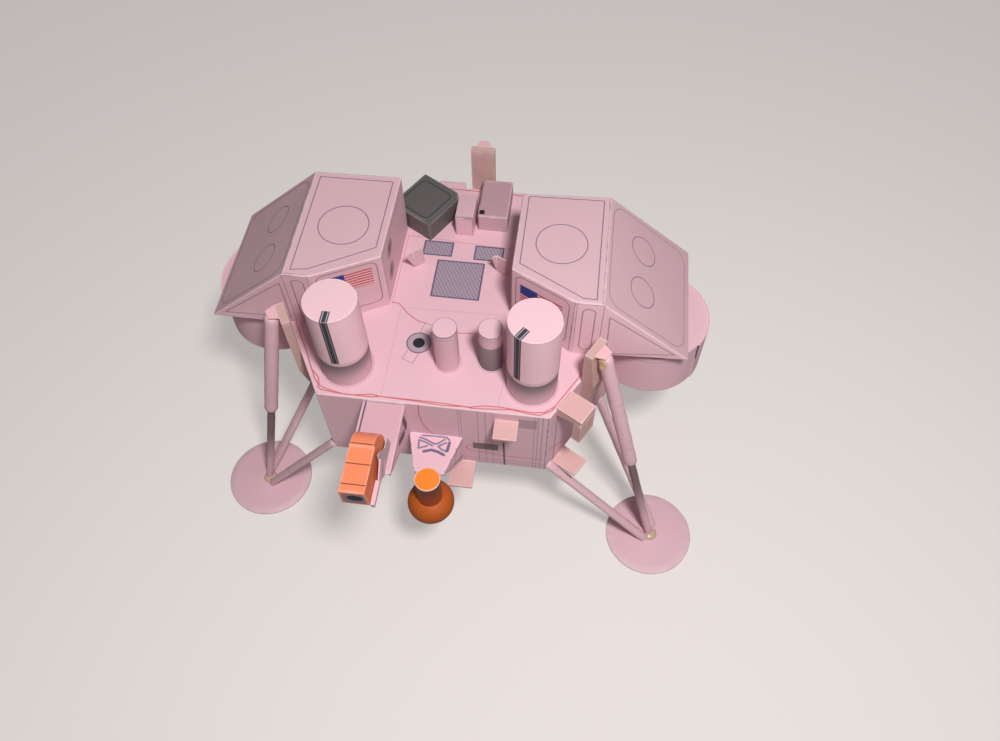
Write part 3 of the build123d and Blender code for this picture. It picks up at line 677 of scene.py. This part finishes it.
def head_prints(angle, centre, lid_level):
    """Camera head: a dark slot with pale lines, over the lid's rim and down the side that faces the
    given direction, and a greyer ring round the foot. The lid is painted a darker tone than the
    wall's brighter card, as painted light."""

    def prints(x, y, z):
        out, across = facing(x, y, centre, angle)
        across = abs(across)
        band = stroke(across, 1.5, 0.04) * stroke(abs(out - 3.8), 2.8, 0.04)
        band = band * stroke(SLOT_FOOT - z, 0.0)
        lid = stroke(lid_level - z, 0.1)
        # painted light: the lid a darker tone than the brighter wall, for less light on top
        yield lid, (0.84, 0.565, 0.62, 1)
        yield stroke(z, 2 * (SLOT_FOOT - 0.05), 0.08) * 0.28, (0.30, 0.20, 0.22, 1)
        yield band, (0.045, 0.045, 0.06, 1)
        yield band * stroke(abs(across - 0.43), 0.14) * (lid * 0.5 + 0.45), (0.62, 0.56, 0.64, 1)
        yield band * stroke(abs(across - 0.72), 0.10, 0.04) * lid, (0.14, 0.18, 0.24, 1)
        yield stroke(abs(z - lid_level + 0.2), 0.14) * 0.45, (0.12, 0.09, 0.13, 1)

    return prints


def base_prints(x, y, z):
    """Camera base: a soft dark tone under the head that fades out downwards."""
    yield z.ramp(50.2, 56.2, 0.12, 0.86), (0.13, 0.11, 0.12, 1)


base_card = card_finish("camera_base_card", prints=base_prints)
for name, slot_angle in (("left", -1.573), ("right", -2.138)):
    node = "camera_base_" + name
    x, y, low, high = middle_of(node)
    grid = turned(tin(CAMERA_RADIUS, low, high), (x, y), 0.05, 1.0)
    build("camera_" + name + "_base", [grid], [base_card], [node])
    node = "camera_head_" + name
    x, y, low, high = middle_of(node)
    prints = head_prints(slot_angle, (x, y), high)
    # painted light: the head's card is brighter than its lid's tone, so that the wall looks more
    # lit
    finish = card_finish("camera_" + name + "_card", (0.95, 0.64, 0.71, 1), prints)
    wall = tin(CAMERA_RADIUS, low, high)
    grid = turned(wall, (x, y), 0.11, slot_angle + 2.2, edges=TIN_FOOT + TIN_RIM)
    build("camera_" + name + "_head", [grid], [finish], [node])


# Inlets: two small rolled tubes standing at the deck's front, one white and one with a dark grey
# gradient that is partly print and partly the camera's painted shadow, each closed with a disc.
INLET_RADIUS = 2.38


def inlet_prints(number, centre, top):
    """Inlet wall: rim lines, and on the second tube a dark gradient, partly print and partly the
    camera's painted shadow, with a lighter one above.
    """

    def prints(x, y, z):
        if number == 2:
            border = top - 3.5
            # partly print, partly painted shadow of the camera
            dark = z.ramp(49.5, border - 0.1, 0.86, 0.66, "LINEAR") * stroke(z, 2 * border, 0.06)
            yield dark, (0.11, 0.12, 0.12, 1)
            light = z.ramp(border, top - 1.0, 0.30, 0.0, "LINEAR") * stroke(2 * border - z, border)
            yield light, (0.30, 0.25, 0.27, 1)
        yield stroke(abs(z - (top - 1.0)), 0.14) * 0.5, BLUE_INK
        rim = stroke(abs(circle(flat(x, y), centre, INLET_RADIUS + 0.02)), 0.3)
        yield rim * stroke(abs(z - top), 0.3) * 0.85, DARK_INK

    return prints


for number in (1, 2):
    node = f"inlet_{number}"
    x, y, low, high = middle_of(node)
    finish = card_finish(node + "_card", prints=inlet_prints(number, (x, y), high))
    grid = turned(tin(INLET_RADIUS, low, high), (x, y), 0.07, -0.4, 40, edges=TIN_RIM)
    build(node + "_tube", [grid], [finish], [node])


# Deck boxes: a turned dark grey box with a clipped corner and a rounded square printed on its
# lid, and two plain white ones beside it, each folded from a net and glued down.
GREY_TURN = math.radians(-31)
grey_x, grey_y, grey_low, grey_high = middle_of("grey_box")


def grey_prints(x, y, z):
    """Grey lid: a rounded square line, with a thin paler one just outside it."""
    line = rounded(flat(*facing(x, y, (grey_x, grey_y), GREY_TURN)), (0, 0), (4.1, 4.3), 1.2)
    on_lid = stroke(abs(z - grey_high), 0.5)
    yield on_lid * stroke(abs(line), 0.36, 0.08) * 0.7, (0.030, 0.042, 0.045, 1)
    yield on_lid * stroke(abs(line - 0.45), 0.2, 0.08) * 0.25, (0.22, 0.24, 0.23, 1)


grey_tone, grey_core = (0.125, 0.115, 0.118, 1), (0.30, 0.27, 0.27, 1)
grey_card = card_finish("grey_card", grey_tone, grey_prints, 0.5, grey_core)
half_x, half_y, clip = 5.375, 5.6, 1.4
square = [(-half_x, -half_y), (half_x, -half_y), (half_x, half_y - clip)]
square += [(half_x - clip, half_y), (-half_x, half_y)]
cosine, sine = math.cos(GREY_TURN), math.sin(GREY_TURN)
square = np.array([(x * cosine - y * sine, x * sine + y * cosine) for x, y in square])
square = square + (grey_x, grey_y) - (square.min(0) + square.max(0)) / 2
grey_faces = card_faces(prism(square, grey_low, grey_high), 0.12)
build("grey_box_folded", grey_faces, [grey_card], ["grey_box"], 0.45)


def box_prints(x, y, z):
    """Large white box: a lid painted darker as shade, with one small black square, and a dark left
    edge.
    """
    lid = abs(z - in_mm("white_box_large")[1][2])
    # painted shade: the lid a step darker than the box's sides
    yield stroke(lid, 0.5) * 0.35, (0.30, 0.14, 0.17, 1)
    yield stroke(rounded(flat(x, y), (3.42, 20.1), (0.62, 0.6), 0.05), 0.0), (0.01, 0.01, 0.015, 1)
    yield stroke(abs(x - 2.8), 0.3) * 0.7, (0.03, 0.04, 0.09, 1)


def outline_prints(x, y, z):
    """Small white box: dark border lines round its front and along its lid's near edge, and its lid
    painted a step darker as shade.
    """
    bx, by, low, high = middle_of("white_box_small")
    lid = abs(z - high)
    # painted shade: the white lid a step darker than the front
    yield stroke(lid, 0.5) * 0.3, (0.45, 0.29, 0.33, 1)
    frame_line = rounded(flat(x, z), (bx, (low + high) / 2), (1.8, (high - low) / 2 - 0.2), 0.1)
    yield stroke(abs(frame_line), 0.2) * 0.7 * stroke(y, 2 * (by - 3.3)), BLUE_INK
    yield stroke(abs(y - (by - 3.35)), 0.3) * stroke(lid, 0.3) * 0.8, DARK_INK


def own_box(node, bow):
    """Grids of an upright box that fills a node's own box."""
    (x0, y0, z0), (x1, y1, z1) = in_mm(node)
    return card_faces(prism([(x0, y0), (x1, y0), (x1, y1), (x0, y1)], z0, z1), bow)


small_card = card_finish("small_box_card", prints=outline_prints)
large_card = card_finish("large_box_card", (0.60, 0.41, 0.46, 1), box_prints)
for node, finish in (("white_box_small", small_card), ("white_box_large", large_card)):
    build(node + "_folded", own_box(node, 0.1), [finish], [node], 0.2)


# Deck flaps: two small tabs of thin card, cut from the deck's vents and bent up, each with its
# corner bent once more.
CARD, THIN_CARD = 0.3, 0.2  # thickness of the sheets


def plate(corners, thickness, finish=0):
    """Faces of a flat card piece: its outline, the same outline moved back by the thickness
    along its normal, and the cut edge between."""
    corners = np.asarray(corners, float)
    middle = corners.mean(0)
    normal = np.cross(corners - middle, np.roll(corners, -1, 0) - middle).sum(0)
    back = corners - normal / np.linalg.norm(normal) * thickness
    cuts = zip(np.roll(corners, 1, 0), corners, back, np.roll(back, 1, 0))
    return [(corners, finish), (back[::-1], finish)] + [(list(cut), finish) for cut in cuts]


flap_card = card_finish("flap_card", (0.72, 0.49, 0.53, 1))
FLAPS = {
    # where the flap folds, where it ends, and the tip of its bent corner
    "deck_flap_1": ((-9.25, 6.81), (-7.40, 8.25), (-10.60, 5.45)),
    "deck_flap_2": ((8.20, 7.90), (10.20, 6.75), (7.30, 7.10)),
}
for node, (fold, end, wing) in FLAPS.items():
    top = in_mm(node)[1][2]
    face = plate([(*fold, DECK), (*end, DECK), (*end, top), (*fold, top)], THIN_CARD)
    side = plate([(*fold, DECK), (*fold, top), (*wing, top)], THIN_CARD)
    build(node + "_bent", card_faces(face + side), [flap_card], [node])


# Leg brackets: tall folded card boxes on the three short sides, with a pointed lug plate on top
# that holds the strut. They were glued on by hand, so each sits a little to one side.
def on_side(angle, reach, points):
    """Points given as distance out from a body side, shift along it and height."""
    out, shift, height = np.asarray(points, float).T
    out = out + reach
    cosine, sine = math.cos(math.radians(angle)), math.sin(math.radians(angle))
    return np.column_stack([out * cosine - shift * sine, out * sine + shift * cosine, height])


def along_side(angle, reach, section, start, stop):
    """Faces of a solid on a body side: a section given as distance out and height, carried along
    the side from start to stop."""
    first = on_side(angle, reach, [(out, start, z) for out, z in section])
    last = on_side(angle, reach, [(out, stop, z) for out, z in section])
    skin = [([first[i - 1], last[i - 1], last[i], first[i]], 0) for i in range(len(section))]
    return [(first, 0), (last[::-1], 0)] + skin


LEGS = {
    # direction, reach of the side, shift, top, depth at deck level, lug's shift
    "left": (210, SIDE, -2.35, DECK + 9.2, 1.65, -3.30),
    "right": (330, SIDE, 1.40, DECK + 9.2, 2.80, 1.40),
    "rear": (90, REAR, -2.30, DECK + 11.3, 1.65, -2.30),
}
bracket_card = card_finish("bracket_card", (0.63, 0.415, 0.38, 1))
lug_card = card_finish("lug_card", (0.84, 0.51, 0.54, 1))
BRACKET_DEPTH, BRACKET_HALF, LUG_DROP = 1.65, 2.6, 0.45
for name, (angle, reach, shift, top, depth, lug_shift) in LEGS.items():
    node = "leg_bracket_" + name
    section = [(0, top), (BRACKET_DEPTH, top), (depth, DECK)]
    section += [(BRACKET_DEPTH, DECK - 7), (0, DECK - 14)]
    faces = along_side(angle, reach, section, shift - BRACKET_HALF, shift + BRACKET_HALF)
    lug = (1.5, 1.8), (3.65, 1.0), (3.65, -1.0), (1.5, -1.8)
    lug = on_side(angle, reach, [(out, lug_shift + t, top - LUG_DROP) for out, t in lug])
    lug_faces = plate(lug, CARD, 1)
    grids = card_faces(faces, 0.08) + card_faces(lug_faces)
    build(node + "_folded", grids, [bracket_card, lug_card], [node], 0.12)


# Legs: a thick rolled paper tube from the lug, a thinner glossy one sliding out of it, and two
# thin rolled side struts from the body's lower edge, all glued to the middle of a round foot.
def rolled(start, end, radius, lap, seam, squeeze=1.0, blunt=0.5):
    """Grid of a paper tube between two points: closed blunt ends, a wall that swells and pinches
    by a few hundredths of a millimetre along it, a section squeezed across, and the sheet's end
    lapping over in a step."""
    start, end = np.asarray(start, float), np.asarray(end, float)
    length = np.linalg.norm(end - start)
    axis = (end - start) / length
    across = np.cross(axis, (0, 0, 1.0))
    across /= np.linalg.norm(across)
    up = np.cross(across, axis)
    rows, columns = 24, 28
    run_out = np.linspace(blunt, length - blunt, rows)
    wall = radius * (1 + 0.018 * np.sin(run_out * 1.1) + 0.012 * np.sin(run_out * 2.7 + 1))
    cap = np.array([(0, 0), (0, radius * 0.55), (blunt * 0.25, radius * 0.86)])
    tail = (length, 0) + cap[::-1] * (-1, 1)
    at, reach = np.concatenate([cap, np.column_stack([run_out, wall]), tail]).T[..., None]
    angle = np.linspace(0, 2 * np.pi, columns, endpoint=False)
    reach = reach + lap * (angle / (2 * np.pi)) * (reach > 0.5 * wall.max())
    ring = np.cos(angle + seam)[:, None] * across + squeeze * np.sin(angle + seam)[:, None] * up
    return start + at[..., None] * axis + reach[..., None] * ring, 0, np.zeros(reach.shape)


def worn_sleeve(x, y, z):
    """Thick tube: faint grey scuffs."""
    scuff = flat(x * 0.6, z).noise(0.9, 4.0)
    yield stroke(abs(scuff - 0.68), 0.10) * 0.25, (0.25, 0.18, 0.18, 1)


def rod_tone(x, y, z):
    """Thin tube: dark brown-grey where it leaves the sleeve, fading to white at the foot."""
    streak = flat(x * 2.0 + y * 2.0, z * 0.12).noise(1.5)
    yield z.ramp(5.0, 22.0, 0.05, 0.88) * (streak * 0.5 + 0.7), (0.085, 0.055, 0.055, 1)


def stained_sleeve(x, y, z):
    """Thick tube: the scuffs, and a soft yellow-brown smear of glue under the lug."""
    yield from worn_sleeve(x, y, z)
    at = flat(x, y, z)
    away = at.vector("DISTANCE", at, (31.0, -17.9, 56.4), out=1)
    yield stroke(away + (at.noise(1.6) - 0.5) * 0.9, 2.5, 0.5) * 0.8, (0.50, 0.32, 0.12, 1)


sleeve_paper = card_finish("sleeve_paper", WHITE_CARD, worn_sleeve, 0.55)
stained_paper = card_finish("stained_sleeve_paper", WHITE_CARD, stained_sleeve, 0.45)
rod_paper = card_finish("rod_paper", WHITE_CARD, rod_tone, 0.30)
strut_paper = card_finish("strut_paper", (0.76, 0.52, 0.56, 1), worn_sleeve, 0.5)
pad_card = card_finish("pad_card", WHITE_CARD)
glue = card_finish("dried_glue", (0.60, 0.46, 0.34, 1), None, 0.25, (0.6, 0.5, 0.4, 1))
SLEEVE_RADIUS, ROD_RADIUS, STRUT_RADIUS, FOOT_RADIUS = 1.42, 0.86, 1.02, 9.80
SLID_IN = 3.0  # how much of the thin tube is inside the thick one
HALF_SIDE = 11.65  # half the length of a short side
SPLITS = {
    # share of the leg that is the thick tube; each side strut's inset and its offset at the foot
    "left": (0.525, ((7.0, 0.5), (0.6, 2.2))),
    "right": (0.545, ((1.0, 1.9), (2.4, 1.7))),
    "rear": (0.535, ((1.2, 1.7), (1.2, 1.7))),
}
for mount in frame["record"]["mounts"]:
    name = mount["name"].replace("foot_", "")
    pad = (np.array(mount["pos_m"]) - home) / MM
    angle, reach, shift, top, depth, lug_shift = LEGS[name]
    share, ends = SPLITS[name]
    head = on_side(angle, reach, [(2.75, lug_shift, top - 0.8)])[0]
    foot = pad + (0, 0, 0.7)
    split = head + (foot - head) * share
    axis = (split - head) / np.linalg.norm(split - head)
    node = "strut_upper_" + name
    sleeve = rolled(head, split, SLEEVE_RADIUS, 0.06, 2.2, blunt=0.9)
    sleeve_finish = stained_paper if name == "right" else sleeve_paper
    build(node + "_tube", [sleeve], [sleeve_finish], [node])
    if name == "right":
        x, y, z = head + axis * 2.0 + (-0.62, -0.72, -0.1)
        drop = [(0, -1.25), (0.35, -1.15), (0.6, -0.8), (0.72, -0.2)]
        drop += [(0.7, 0.4), (0.4, 0.8), (0, 0.9)]
        drop = turned([(radius, z + level) for radius, level in drop], (x, y), 0.1, 1.0, 24)
        build("lug_glue", [drop], [stained_paper])
    node = "strut_lower_" + name
    rod = rolled(split - axis * SLID_IN, foot + (0, 0, 0.6), ROD_RADIUS, 0.05, 1.0)
    build(node + "_tube", [rod], [rod_paper], [node])
    for mark, hand, (inset, offset) in (("a", -1, ends[0]), ("b", 1, ends[1])):
        node = f"side_strut_{name}_{mark}"
        corner = on_side(angle, reach, [(-0.4, hand * (HALF_SIDE - inset), FLOOR_LEVEL + 1.3)])[0]
        stop = pad + on_side(angle, 0, [(0, hand * offset, 1.4)])[0]
        bar = rolled(corner, stop, STRUT_RADIUS, 0.06, 1.6, 0.78)
        build(node + "_tube", [bar], [strut_paper], [node])
    node, rim = "foot_pad_" + name, FOOT_RADIUS
    cone = [(0, 0), (rim * 0.6, 0), (rim - 0.1, 0), (rim, 0.12), (rim, 0.42), (rim - 0.12, 0.55)]
    cone += [(rim * part, 1.5 - part) for part in (0.8, 0.6, 0.4, 0.2)]
    cone += [(1.2, 1.38), (0, 1.42)]
    disc = turned(cone, pad[:2], 0.12, 0.6, 90, edges=(3, 4, 5))
    build(node + "_cone", [disc], [pad_card], [node])
    blob = [(0, 0.9), (1.25, 1.0), (1.4, 1.3), (1.1, 1.6), (0.5, 1.85), (0, 1.9)]
    blob = turned(blob, pad[:2] + (0.2, -0.5), 0.35, 1.0, 24)
    build("foot_glue_" + name, [blob], [glue])


# Engines: under each long side a level card plate narrows outwards between two folded flanges
# and carries an orange tube with a flat lid over a flattened brown ball.
PLATE_TOP, PLATE_REACH = DECK - 11.4, 8.6
PLATE_TIP, FLANGE_TIP = 2.7, 2.68  # how far the plate and its flanges stand aside at the outer end
BARREL_RADIUS, BALL_RADIUS, BALL_HALF = 2.54, 4.83, 3.6


def plate_prints(angle):
    """Engine plate: a blue-grey crossed truss drawn in strokes of two widths, laid out on the
    front side and carried round."""

    def prints(x, y, z):
        place = flat(*facing(x, y, (0, 0), math.radians(angle - 270)))
        thin = trail(place, [(-2.6, -27.1), (-0.1, -26.95), (2.3, -27.0), (2.95, -27.6)])
        for bar in (
            [(-3.05, -27.6), (-1.6, -28.0), (0.0, -28.75), (0.8, -28.55), (2.0, -27.5)],
            [(-0.3, -29.2), (-1.7, -28.55), (-3.15, -28.2), (-3.0, -30.05), (-1.35, -29.35)],
            [(2.4, -28.2), (0.9, -29.2), (1.8, -29.9), (2.75, -30.1)],
        ):
            thin = thin & trail(place, bar)
        thick = trail(place, [(-1.8, -30.65), (-0.4, -30.15), (0.85, -30.35), (2.3, -30.95)])
        thick = thick & run(place, (3.05, -28.15), (2.85, -30.0))
        yield stroke(thin, 0.38, 0.1) * 0.85, (0.11, 0.13, 0.24, 1)
        yield stroke(thick, 0.62, 0.12) * 0.9, (0.08, 0.10, 0.20, 1)

    return prints


def truss_prints(x, y, z):
    """Flange: a long bar along its slanted lower edge, and cross bars."""
    out = circle(flat(x, y), (0, 0), 0.0)
    depth = (PLATE_TOP - z) / ((FRONT + 9.4 - out) | 0.4)  # 0 at the plate, 1 at the lower edge
    yield stroke(abs(depth - 0.86), 0.12, 0.04) * 0.7, (0.11, 0.13, 0.24, 1)
    yield stroke(abs(depth - 0.12), 0.10, 0.04) * 0.6, (0.11, 0.13, 0.24, 1)
    wave = abs((out * 1.25 + z * 0.35).sine())
    yield stroke(wave, 0.30, 0.15) * 0.55, (0.12, 0.13, 0.23, 1)


def barrel_shade_and_rim(x, y, z):
    """Engine tube: painted shade that darkens it towards its lid, under the plate, with a bare
    white rim at the top.
    """
    # painted shade under the plate, darker towards the lid
    yield z.ramp(31.5, 37.5, 0.0, 0.75, "LINEAR"), (0.09, 0.014, 0.006, 1)
    yield stroke(PLATE_TOP + 0.42 - z, 0.0, 0.04), (0.75, 0.60, 0.55, 1)


def ball_shade(x, y, z):
    """Engine ball: brown, with painted light brighter on its shoulder and painted shade below."""
    # painted shade below, leaving the shoulder lit
    yield z.ramp(25.0, 30.6, 0.85, 0.0), (0.11, 0.03, 0.008, 1)


flange_card = card_finish("flange_card", prints=truss_prints)
lid_tone, lid_core = (0.95, 0.265, 0.03, 1), (0.95, 0.75, 0.65, 1)
disc_card = card_finish("engine_lid_card", lid_tone, None, 0.45, lid_core)
barrel_card = card_finish("engine_tube_card", (0.42, 0.065, 0.010, 1), barrel_shade_and_rim, 0.5)
ball_card = card_finish("engine_ball_card", (0.50, 0.105, 0.012, 1), ball_shade, 0.55)
for name, angle in (("front", 270), ("right", 30), ("left", 150)):
    node = "engine_bracket_" + name
    sheet = [(PLATE_REACH, -PLATE_TIP), (PLATE_REACH, PLATE_TIP), (0, 5.2), (0, -5.15)]
    faces = plate(on_side(angle, FRONT, [(out, t, PLATE_TOP) for out, t in sheet]), CARD)
    for hand, wide in ((-1, 5.13), (1, 5.18)):
        under, side, tip = PLATE_TOP - 0.03, hand * wide, hand * FLANGE_TIP
        fin = [(PLATE_REACH, tip, under), (0, side, under)]
        fin += [(0, side, PLATE_TOP - 9.0), (PLATE_REACH, tip, PLATE_TOP - 0.8)]
        faces += plate(on_side(angle, FRONT, fin[::hand]), CARD, 1)
    top_card = card_finish(f"engine_plate_{name}_card", prints=plate_prints(angle))
    build(node + "_folded", card_faces(faces), [top_card, flange_card], [node], 0.1)
    node = "engine_body_" + name
    x, y, low, high = middle_of(node)
    barrel = tin(BARREL_RADIUS, low, high, 0.04, 0.06)
    wall = turned(barrel[: TIN_LID + 1], (x, y), 0.06, 0.8, 44)
    lid = turned(barrel[TIN_LID:], (x, y), 0.06, 0.8, 44, 1)
    build(node + "_tube", [wall, lid], [barrel_card, disc_card], [node])
    node = "engine_bulb_" + name
    x, y, low, high = middle_of(node)
    arc = np.linspace(-np.pi / 2, np.pi / 2, 26)
    ball = np.column_stack([BALL_RADIUS * np.cos(arc), low + BALL_HALF * (1 + np.sin(arc))])
    build(node + "_ball", [turned(ball, (x, y), steps=56)], [ball_card], [node])


# Soil sampler: a white shelf level with the deck, with printed flanges folded down along its
# edges, carries an orange drum whose flat boom runs forward, with a white post and strip beside.
(SHELF_LEFT, SHELF_END, _), (SHELF_RIGHT, _, _) = in_mm("sampler_shelf")


def shelf_prints(x, y, z):
    """Shelf: a dark line inside its left edge and a fainter one where it meets the body."""
    yield stroke(abs(x - (SHELF_LEFT + 0.6)), 0.32) * 0.85, (0.035, 0.04, 0.13, 1)
    yield stroke(abs(y + FRONT + 0.35), 0.28) * 0.6, (0.06, 0.07, 0.18, 1)


def shelf_truss(x, y, z):
    """Shelf flange: two dark openings with bars between them near the shelf's edge, and a
    lighter lower half with fine lines."""
    place = flat(y, z)
    dark = run(place, (-29.3, 47.6), (-28.6, 43.6)) & run(place, (-30.4, 43.9), (-33.6, 46.6))
    yield stroke(dark, 1.5, 0.25) * 0.85, (0.03, 0.025, 0.03, 1)
    bars = trail(place, [(-27.0, 48.2), (-28.0, 43.0), (-33.4, 48.2), (-40.5, 48.5)])
    bars = bars & run(place, (-29.7, 48.4), (-31.7, 45.4))
    yield stroke(bars, 0.32, 0.12) * 0.7, (0.11, 0.11, 0.17, 1)
    edge = (z - (DECK - 9.6)) + (y + FRONT) * 0.63
    yield stroke(abs(edge), 0.35, 0.15) * 0.6, (0.12, 0.12, 0.18, 1)
    yield stroke(abs(edge - 1.4), 0.3, 0.15) * 0.4, (0.16, 0.15, 0.20, 1)


shelf_card = card_finish("shelf_card", (0.70, 0.43, 0.485, 1), shelf_prints)
truss_card = card_finish("shelf_flange_card", prints=shelf_truss)
shelf = [(SHELF_LEFT, SHELF_END), (SHELF_RIGHT, SHELF_END)]
shelf += [(SHELF_RIGHT, -FRONT), (SHELF_LEFT, -FRONT)]
faces = plate([(x, y, DECK) for x, y in shelf], CARD)
under = DECK - 0.03
flange = [(SHELF_END, under), (SHELF_END, DECK - 0.8), (-FRONT, DECK - 10.3), (-FRONT, under)]
for x in (SHELF_LEFT + 0.32, SHELF_RIGHT - 0.02):
    faces += plate([(x, y, z) for y, z in flange], CARD, 1)
cards = [shelf_card, truss_card]
build("sampler_shelf_folded", card_faces(faces), cards, ["sampler_shelf"], 0.1)


def boom_prints(x, y, z):
    """Boom and drum: three thin dark lines across the top, sides painted darker as shade through
    darker copies of the card, and a black oval lens on the grey front face."""
    bars = abs(y + 40.15) & abs(y + 44.1) & abs(y + 48.0)
    yield stroke(bars, 0.20) * stroke(abs(z - 57.6), 0.9, 0.1) * 0.85, (0.06, 0.02, 0.015, 1)
    face = stroke(abs(y + 49.7), 0.4)
    grey = rounded(flat(x, z), (-9.25, 55.1), (2.05, 1.85), 0.9)
    yield face * stroke(grey, 0.0, 0.1), (0.30, 0.20, 0.25, 1)
    lens = circle(flat(x, z), (-9.0, 55.35), 0.0, 0.75)
    yield face * stroke(lens, 2.9, 0.1), (0.012, 0.010, 0.014, 1)


boom_card = card_finish("boom_card", (0.93, 0.27, 0.13, 1), boom_prints, 0.5, (0.95, 0.62, 0.50, 1))
# painted shade: darker copies of the orange card for the boom's sides and the drum's ends
shaded_side_card = card_finish("boom_side_card", (0.68, 0.165, 0.055, 1), None, 0.5, (0.9, 0.5, 0.4, 1))
shaded_end_card = card_finish("drum_end_card", (0.78, 0.21, 0.065, 1), None, 0.5, (0.9, 0.5, 0.4, 1))
(BOOM_LEFT, BOOM_TIP, _), (BOOM_RIGHT, DRUM_BACK, BOOM_TOP) = in_mm("sampler_boom")
DRUM_RADIUS, BOOM_THICK, DRUM_LEAN = 4.2, 4.55, 0.52
drum_y, drum_z = DRUM_BACK - DRUM_RADIUS, DECK + DRUM_RADIUS


def sideways(outline, right, end):
    """Faces of a level prism: its outline in length and height, carried across the model from
    the boom's left side to a right end that may lean, one place per corner; the end is split
    along its middle."""
    near = [(BOOM_LEFT, y, z) for y, z in outline]
    far = [(x, y, z) for x, (y, z) in zip(right, outline)]
    half = len(far) // 2
    wraps = [([near[i - 1], far[i - 1], far[i], near[i]], 0) for i in range(len(outline))]
    return wraps + [(far[: half + 1], end), (far[half:] + far[:1], end), (near[::-1], end)]


around = np.radians(np.arange(0, 360, 9))
drum = [(drum_y + DRUM_RADIUS * math.cos(t), drum_z + DRUM_RADIUS * math.sin(t)) for t in around]
drum_end = BOOM_RIGHT - 0.9 + DRUM_LEAN * np.clip(1 - np.sin(around), 0, 1)
boom_low = BOOM_TOP - BOOM_THICK
boom = [(BOOM_TIP, boom_low), (drum_y, boom_low), (drum_y, BOOM_TOP), (BOOM_TIP, BOOM_TOP)]
boom_end = BOOM_RIGHT - np.array([0.25, 0.25, 0.62, 0.62])
grids = card_faces(sideways(drum, drum_end, 2), 0.0, 1.3)
grids += card_faces(sideways(boom, boom_end, 1), 0.03, 1.3)
cards = [boom_card, shaded_side_card, shaded_end_card]
build("sampler_boom_folded", grids, cards, ["sampler_boom"], 0.08)


def blade_fold_shade(x, y, z):
    """Strip: painted shade, a darker band down the middle of its wide rear end where its fold lies
    in shade.
    """
    band = run(flat(y, z), (-40.9, 55.3), (-43.1, 52.2))
    # painted shade of the strip's fold
    yield stroke(band, 1.3, 0.35) * 0.55, (0.34, 0.25, 0.28, 1)


# painted shade: the cheek is white card like the strip, painted lavender-grey for the shade on its
# side
cheek_card = card_finish("cheek_card", (0.56, 0.43, 0.47, 1))
blade_card = card_finish("blade_card", prints=blade_fold_shade)
FOOT_OF_CHEEK = DECK + 0.04
cheek = [
    (-41.4, FOOT_OF_CHEEK), (-41.7, DECK + 0.5), (-42.3, 55.0), (-42.1, 57.2), (-41.3, 56.7),
    (-40.2, 55.5), (-39.5, 54.3), (-38.4, 53.1), (-37.5, 52.9), (-37.0, 53.2), (-36.3, 53.2),
    (-36.0, 52.0), (-35.5, 50.0), (-35.4, FOOT_OF_CHEEK),
]  # fmt: skip
cheek_faces = plate([(BOOM_RIGHT - 0.05, y, z) for y, z in cheek], CARD)
build("sampler_cheek", card_faces(cheek_faces), [cheek_card], fold=0.05)
(rail_left, _, _), (rail_right, _, _) = in_mm("sampler_rail")
blade = [
    (-42.2, 56.4), (-40.5, 52.6), (-41.5, 50.5), (-42.4, 50.0),
    (-43.7, 51.6), (-45.3, 52.3), (-45.3, 53.5), (-43.9, 55.0),
]  # fmt: skip
rear = plate([(BOOM_RIGHT + 0.3, y, z) for y, z in blade], 0.28)
back, top, foot = -45.0, DECK + 4.4, DECK + 3.2
strip = [(back, top), (BOOM_TIP, top), (BOOM_TIP, foot), (back, foot)]
strip = plate([(rail_right, y, z) for y, z in strip], rail_right - rail_left + 0.15)
faces = card_faces(rear + strip)
build("sampler_rail_strip", faces, [blade_card], ["sampler_rail"], 0.06)


# Small folded tabs left over from the net: a thick one hooked over the right short side, a level
# one at its foot, two on the front wall and one behind the deck.
tab_card = card_finish("tab_card", (0.71, 0.44, 0.425, 1))
top, outside, inside, bend = DECK + 0.9, 5.7, 3.9, DECK - 0.7
upper = [(0, top), (outside, top), (outside, bend), (inside, bend), (0, top - 2.6)]
lower = [(outside, bend), (outside, top - 7.7), (inside, top - 7.7), (inside, bend)]
faces = []
for section in (upper, lower):
    faces += along_side(330, SIDE, section, -9.45, -4.55)
faces = card_faces(faces, 0.05)
build("shoulder_box_folded", faces, [tab_card], ["shoulder_box"], 0.12)
for node, finish in (("wall_flap", tab_card), ("floor_flap", tab_card), ("rear_flap", plain_card)):
    build(node + "_bent", own_box(node, 0.04), [finish], [node], 0.1)
corner = (0, -9.3), (5.8, -9.3), (5.8, -4.7), (0, -4.7)
corner = on_side(330, SIDE, [(out, t, FLOOR_LEVEL + 0.5) for out, t in corner])
faces = card_faces(plate(corner, 0.5), 0.04)
build("corner_flap_bent", faces, [tab_card], ["corner_flap"], 0.1)
